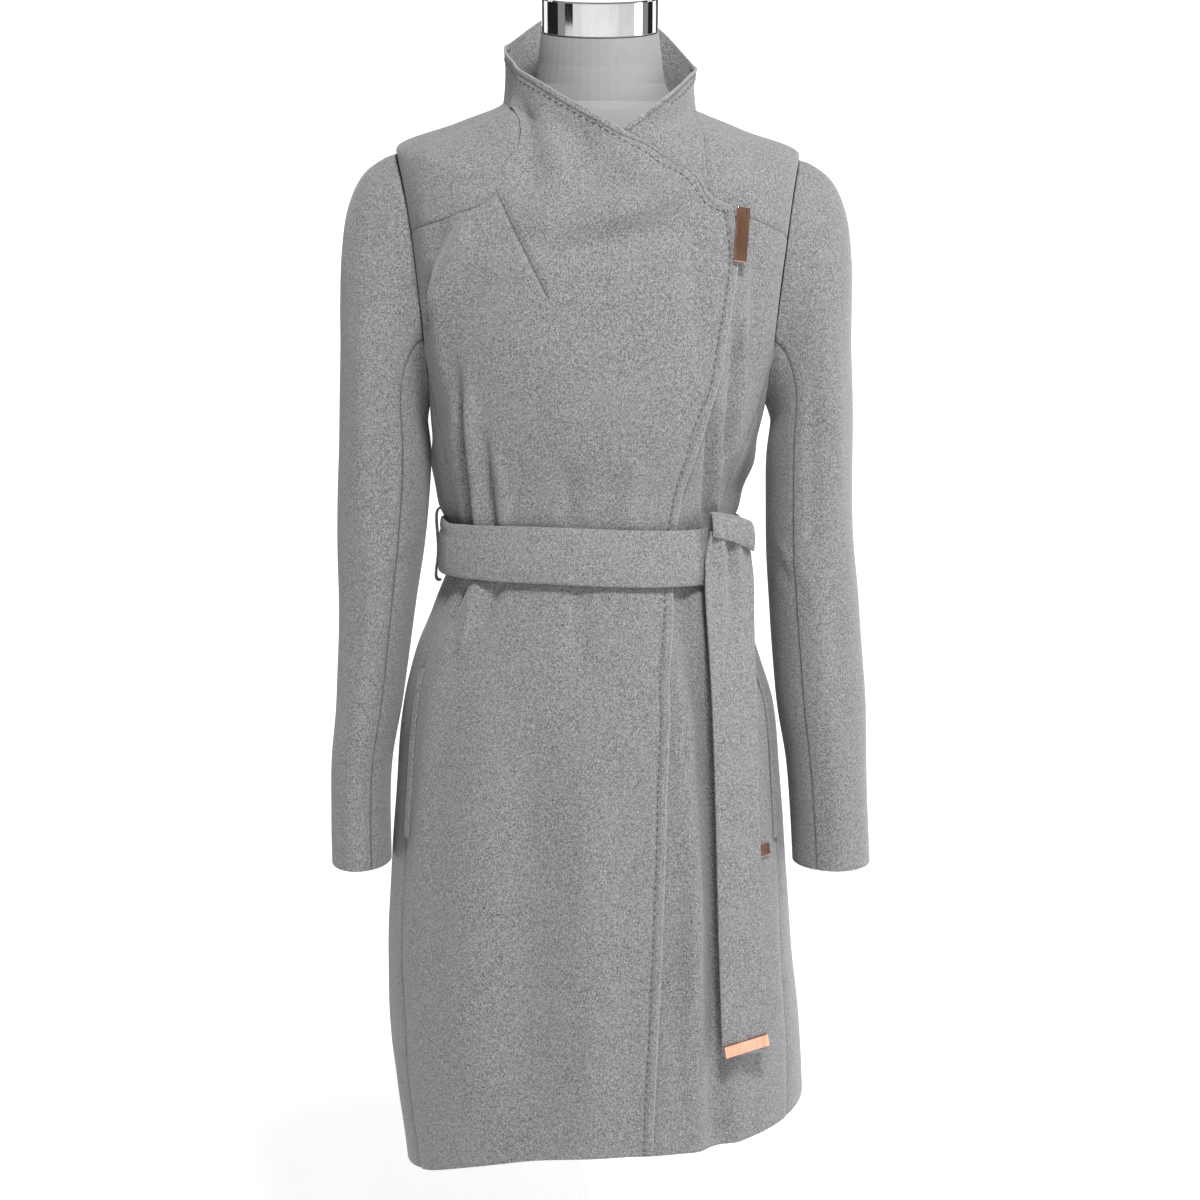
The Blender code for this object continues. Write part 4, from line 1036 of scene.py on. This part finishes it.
# The fold over the top of the tail: forward, z, half-width and slope of each row.
# Columns: ahead, z, half, slope.
KNOT_ROWS = (
    (-0.0040, 0.9780, 0.0190, -0.10), (-0.0038, 0.9880, 0.0200, -0.14), (-0.0020, 0.9985, 0.0208, -0.18),
    (0.0025, 1.0030, 0.0212, -0.22), (0.0072, 1.0015, 0.0218, -0.24), (0.0098, 0.9950, 0.0222, -0.26),
    (0.0104, 0.9870, 0.0222, -0.30), (0.0096, 0.9790, 0.0216, -0.34),
)
KNOT_CENTRE = np.array([0.1181, -0.0758, 0.0])
KNOT_FACING = math.radians(28)


def make_knot():
    rows = []
    forward = np.array([math.sin(KNOT_FACING), -math.cos(KNOT_FACING), 0])
    across = np.array([math.cos(KNOT_FACING), math.sin(KNOT_FACING), 0])
    for ahead, z, half, slope in KNOT_ROWS:
        rows.append([KNOT_CENTRE + forward * (ahead - 0.0022 * abs(u) ** 3) + across * half * u
                     + np.array([0, 0, z + slope * half * u - 0.002 * u * u]) for u in np.linspace(-1, 1, 9)])
    fine = refine(np.array(rows), 5, 4)
    u = np.linspace(-1, 1, fine.shape[1])[None, :]
    fine = fine + forward * (0.0010 * np.sin(7.0 * u + 1.0)
                             * np.linspace(0, 1, fine.shape[0])[:, None])[..., None]
    shell = Shell("belt_knot", BELT_WALL)
    shell.add(fine, seam=0.02, dart=0.02, dart_on=0.0, rim=0.02)
    shell.build(BELT_WOOL)


def make_loops():
    half = 0.0055
    for name, side in (("belt_loop_right", -1), ("belt_loop_left", 1)):
        t = np.linspace(0, 1, 49)
        z = BELT_HEIGHT + BELT_DROP * -side + LOOP_HALF * np.cos(np.pi * t)
        x = (body_surface(np.full(t.shape, side * 90.0), z)[:, 0]
             + side * (0.0032 + 0.0104 * np.sin(np.pi * t) ** 0.6))
        u = np.linspace(-half, half, 5) * side
        points = np.stack([np.repeat(x[:, None], 5, 1), np.broadcast_to(u, (49, 5)),
                           np.repeat(z[:, None], 5, 1)], -1)
        shell = Shell(name, 0.0022)
        shell.add(points[::-1], seam=0.02, dart=0.02, dart_on=0.0, rim=0.02)
        shell.build(WOOL)


# ---------------------------------------------------------------- stitches
def stitch_group():
    """Node group: short dashes of thread along a line of edges."""
    group = bpy.data.node_groups.new("pick_stitch", "GeometryNodeTree")
    sockets = {}
    for name, kind in (("Line", "NodeSocketGeometry"), ("Pitch", "NodeSocketFloat"),
                       ("Dash", "NodeSocketFloat"), ("Thick", "NodeSocketFloat")):
        sockets[name] = group.interface.new_socket(name, in_out="INPUT", socket_type=kind).identifier
    group.interface.new_socket("Stitches", in_out="OUTPUT", socket_type="NodeSocketGeometry")
    nodes, links = group.nodes, group.links
    entry, leave = nodes.new("NodeGroupInput"), nodes.new("NodeGroupOutput")
    curve = nodes.new("GeometryNodeMeshToCurve")
    links.new(entry.outputs["Line"], curve.inputs["Mesh"])
    even = nodes.new("GeometryNodeResampleCurve")
    even.mode = "LENGTH"
    links.new(curve.outputs["Curve"], even.inputs["Curve"])
    links.new(entry.outputs["Pitch"], even.inputs["Length"])
    dash = nodes.new("GeometryNodeMeshUVSphere")
    dash.inputs["Segments"].default_value = 6
    dash.inputs["Rings"].default_value = 5
    dash.inputs["Radius"].default_value = 0.5
    size = nodes.new("ShaderNodeCombineXYZ")
    links.new(entry.outputs["Thick"], size.inputs["X"])
    links.new(entry.outputs["Thick"], size.inputs["Y"])
    vary = nodes.new("FunctionNodeRandomValue")
    vary.data_type = "FLOAT"
    low, high = [s for s in vary.inputs if s.enabled and s.name in ("Min", "Max")]
    low.default_value, high.default_value = 0.85, 1.1
    [s for s in vary.inputs if s.name == "Seed"][0].default_value = 7
    longer = nodes.new("ShaderNodeMath")
    longer.operation = "MULTIPLY"
    links.new(entry.outputs["Dash"], longer.inputs[0])
    links.new([s for s in vary.outputs if s.enabled][0], longer.inputs[1])
    links.new(longer.outputs[0], size.inputs["Z"])
    way = nodes.new("GeometryNodeInputTangent")
    turn = nodes.new("FunctionNodeAlignRotationToVector")
    turn.axis = "Z"
    links.new(way.outputs["Tangent"], turn.inputs["Vector"])
    copies = nodes.new("GeometryNodeInstanceOnPoints")
    links.new(even.outputs["Curve"], copies.inputs["Points"])
    links.new(dash.outputs["Mesh"], copies.inputs["Instance"])
    links.new(turn.outputs["Rotation"], copies.inputs["Rotation"])
    links.new(size.outputs["Vector"], copies.inputs["Scale"])
    real = nodes.new("GeometryNodeRealizeInstances")
    links.new(copies.outputs["Instances"], real.inputs["Geometry"])
    paint = nodes.new("GeometryNodeSetMaterial")
    paint.inputs["Material"].default_value = THREAD
    links.new(real.outputs["Geometry"], paint.inputs["Geometry"])
    links.new(paint.outputs["Geometry"], leave.inputs["Stitches"])
    return group, sockets


STITCH, STITCH_INPUTS = stitch_group()


def stitches(name, points, pitch=0.0066, dash=0.0042, thick=0.0012):
    """A row of pick stitches along a line of points."""
    mesh = bpy.data.meshes.new(name)
    mesh.from_pydata([tuple(p) for p in points], [(i, i + 1) for i in range(len(points) - 1)], [])
    made = bpy.data.objects.new(name, mesh)
    bpy.context.scene.collection.objects.link(made)
    nodes = made.modifiers.new("stitches", "NODES")
    nodes.node_group = STITCH
    for key, value in (("Pitch", pitch), ("Dash", dash), ("Thick", thick)):
        nodes[STITCH_INPUTS[key]] = value
    made = applied(made)
    made.data.shade_smooth()
    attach(made, "root")
    return made


def offset_line(line, gap, towards):
    """A line of turn and rise moved sideways over the surface by gap metres, towards a turn and rise."""
    line = np.array(line, float)
    place = body_surface(line[:, 0], line[:, 1])
    way = unit(np.gradient(place, axis=0))
    normal = body_normal(line[:, 0], line[:, 1])
    side = unit(np.cross(normal, way))
    aim = body_surface(*towards) - place
    side = side * np.sign((side * aim).sum(-1, keepdims=True))
    goal = place + side * gap
    out = line.copy()
    for _ in range(8):
        here = body_surface(out[:, 0], out[:, 1])
        by_turn = (body_surface(out[:, 0] + 0.5, out[:, 1]) - here) / 0.5
        by_rise = (body_surface(out[:, 0], out[:, 1] + 0.002) - here) / 0.002
        error = goal - here
        a, b, c = ((x * y).sum(-1) for x, y in ((by_turn, by_turn), (by_turn, by_rise), (by_rise, by_rise)))
        p, q = (error * by_turn).sum(-1), (error * by_rise).sum(-1)
        det = a * c - b * b
        out[:, 0] += (p * c - q * b) / det
        out[:, 1] += (q * a - p * b) / det
    return out


def on_cloth(piece, line, lift, wall=WALL):
    """Points of a line of turn and rise on the outer face of a piece."""
    turn, rise = np.array(line, float).T
    plain = body_surface(turn, rise)
    depth = crease_depth(piece, plain, turn, rise) + ripple(plain, 0.0004)
    return body_at(turn, rise, (over_left_front(turn) if lift else 0) + depth + wall / 2 + 0.0001)


def make_stitches():
    inside = 0.0085
    edge, turns = free_edge(FRONT_EDGE)
    rises = np.linspace(edge[0][1] + 0.004, edge[-1][1] - 0.004, 320)
    front = np.stack([turns(rises), rises], -1)
    stitches("stitches_front_edge", on_cloth("right_front", offset_line(front, inside, (-30, 1.0)), True))
    top = np.array(resample(collar_top(-1, LAPEL_EDGE)[1:], 240))
    stitches("stitches_lapel", on_cloth("right_front", offset_line(top[:-4], inside, (-20, 1.20)), True))
    top = np.array(resample(collar_top(1, UNDER_COLLAR_EDGE)[1:9], 160))
    stitches("stitches_under_collar", on_cloth("left_front", offset_line(top, inside, (20, 1.20)), False))
    turn = np.linspace(COLLAR_END, 360 - COLLAR_END, 160)
    back = np.stack([turn, np.full(160, COLLAR_TOP)], -1)
    stitches("stitches_collar_back", on_cloth("collar_back", offset_line(back, inside, (180, 1.20)), False))


# ---------------------------------------------------------------- pockets
POCKET_RISES = (0.700, 0.858)     # the opening runs in the side-front seam between these rises


def make_pockets():
    """A narrow welt in each side-front seam, its free edge standing off the cloth."""
    for name, side in (("pocket_welt_right", -1), ("pocket_welt_left", 1)):
        seam = np.array(side_front_seam(side))
        turns = Curve(seam[:, 1], seam[:, 0])
        rise = np.linspace(*POCKET_RISES, 44)[:, None]
        u = np.linspace(0, 1, 6)[None, :]
        line = turns(rise) - side * (0.6 + 3.6 * u)
        ends = smoothstep(0, 0.06, (rise - POCKET_RISES[0]) / (POCKET_RISES[1] - POCKET_RISES[0]))
        ends = ends * smoothstep(1, 0.94, (rise - POCKET_RISES[0]) / (POCKET_RISES[1] - POCKET_RISES[0]))
        rise = np.broadcast_to(rise, line.shape)
        lift = WALL / 2 + 0.0011 + 0.0009 * ends * (1 - u)
        points = body_at(line, rise, lift)
        if side > 0:
            points = points[:, ::-1]
        shell = Shell(name, 0.0016)
        shell.add(points, seam=0.02, dart=0.02, dart_on=0.0, rim=0.02)
        shell.build(WOOL)


# ---------------------------------------------------------------- carried-over solids
def finish_solids():
    """Better finishes for the form, stand and bars, whose shapes stay as they are."""
    finishes = {"form_torso": FORM_CLOTH, "form_neck_cap": CHROME, "stand_pole": CHROME, "stand_base": CHROME,
                "bar_lapel": ROSE, "bar_belt_end": ROSE, "bar_pocket": ROSE}
    for name, finish in finishes.items():
        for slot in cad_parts[name].material_slots:
            slot.material = finish


# ---------------------------------------------------------------- stage, lights, camera
def card(name, centre, size, facing, colour, strength=0.0, only_mirror=True):
    """A flat panel that mirrors see, and that lights nothing unless strength is set."""
    bpy.ops.mesh.primitive_plane_add(size=1, location=centre)
    made = bpy.context.object
    made.name = name
    made.scale = (size[0], size[1], 1)
    made.rotation_euler = (Vector(facing) - Vector(centre)).to_track_quat("Z", "Y").to_euler()
    tree = Tree(name)
    tree.shader.inputs["Base Color"].default_value = (0, 0, 0, 1)
    tree.shader.inputs["Roughness"].default_value = 1.0
    tree.shader.inputs["Emission Color"].default_value = (*colour, 1)
    tree.shader.inputs["Emission Strength"].default_value = strength
    made.data.materials.append(tree.material)
    if only_mirror:
        made.visible_camera = made.visible_diffuse = made.visible_shadow = False
    return made


def light(name, place, aim, size, power, colour=(1, 1, 1)):
    lamp = bpy.data.lights.new(name, "AREA")
    lamp.shape, lamp.size, lamp.size_y = "RECTANGLE", size[0], size[1]
    lamp.energy, lamp.color = power, colour
    made = bpy.data.objects.new(name, lamp)
    made.location = place
    made.rotation_euler = (Vector(aim) - Vector(place)).to_track_quat("-Z", "Y").to_euler()
    made.visible_camera = False
    bpy.context.scene.collection.objects.link(made)


# Dark panels round the room, seen only in the chrome: angle from straight ahead and width, degrees.
DARK_CARDS = ((-152, 22), (-118, 9), (-96, 16), (-66, 7), (-44, 12), (-24, 5), (-4, 11), (96, 6), (118, 20),
              (152, 26))


def make_stage():
    scene = bpy.context.scene
    rows = [(-5.0, -0.0005), (1.6, -0.0005)]
    rows += [(1.6 + 1.4 * math.sin(a), 1.4 - 1.4 * math.cos(a) - 0.0005)
             for a in np.linspace(0.1, math.pi / 2, 14)]
    rows.append((3.0, 6.0))
    mesh = bpy.data.meshes.new("studio_floor")
    mesh.from_pydata([(x, y, z) for y, z in rows for x in (-7, 7)], [],
                     [(2 * k, 2 * k + 1, 2 * k + 3, 2 * k + 2) for k in range(len(rows) - 1)])
    mesh.shade_smooth()
    floor = bpy.data.objects.new("studio_floor", mesh)
    scene.collection.objects.link(floor)
    tree = Tree("pale_floor", Specular_IOR_Level=0.1, Emission_Strength=0.42)
    tree.shader.inputs["Emission Color"].default_value = (1, 1, 1, 1)
    grain = tree.noise(12.0, 2.0, 0.5)
    floor.data.materials.append(tree.put(Base_Color=tree.mix(grain * 0.1, grey(0.88, (1, 1, 1)),
                                                             grey(0.84, (1, 1, 1))),
                         Roughness=0.9 + 0 * grain))
    world = bpy.data.worlds.new("studio") if not scene.world else scene.world
    scene.world = world
    world.use_nodes = True
    back = world.node_tree.nodes["Background"]
    back.inputs["Color"].default_value = (1, 1, 1, 1)
    back.inputs["Strength"].default_value = 0.27
    light("key", (0.5, -1.9, 3.4), (0, 0, 0.9), (0.6, 0.6), 118)
    light("fill", (3.0, -0.7, 1.3), (0, 0, 0.9), (0.9, 2.0), 34)
    light("low_fill", (0.5, -3.0, 0.8), (0, 0, 0.5), (1.2, 0.8), 6)
    for k, (angle, wide) in enumerate(DARK_CARDS):
        around = math.radians(angle)
        card(f"dark_card_{k}", (2.6 * math.sin(around), -2.6 * math.cos(around), 2.3),
             (2.6 * math.radians(wide), 3.2), (0, 0, 1.46), (0, 0, 0))
    scene.view_settings.view_transform = "Standard"
    scene.view_settings.look = "None"
    camera = bpy.data.cameras.new("camera")
    camera.sensor_width = 36
    camera.lens = 36 / 1.14 * 2.0
    camera.clip_start = 0.05
    holder = bpy.data.objects.new("camera", camera)
    holder.location = (0, -2.0, 1.135)
    holder.rotation_euler = (Vector((0, 0, 0.917)) - holder.location).to_track_quat("-Z", "Y").to_euler()
    scene.collection.objects.link(holder)
    scene.camera = holder


def plain(value):
    return [[round(float(v), 5) for v in corner] for corner in value]


make_stage()
make_fronts()
make_sides()
make_yokes()
make_back()
make_sleeves()
make_belt()
make_tail()
make_knot()
make_loops()
make_pockets()
make_stitches()
finish_solids()
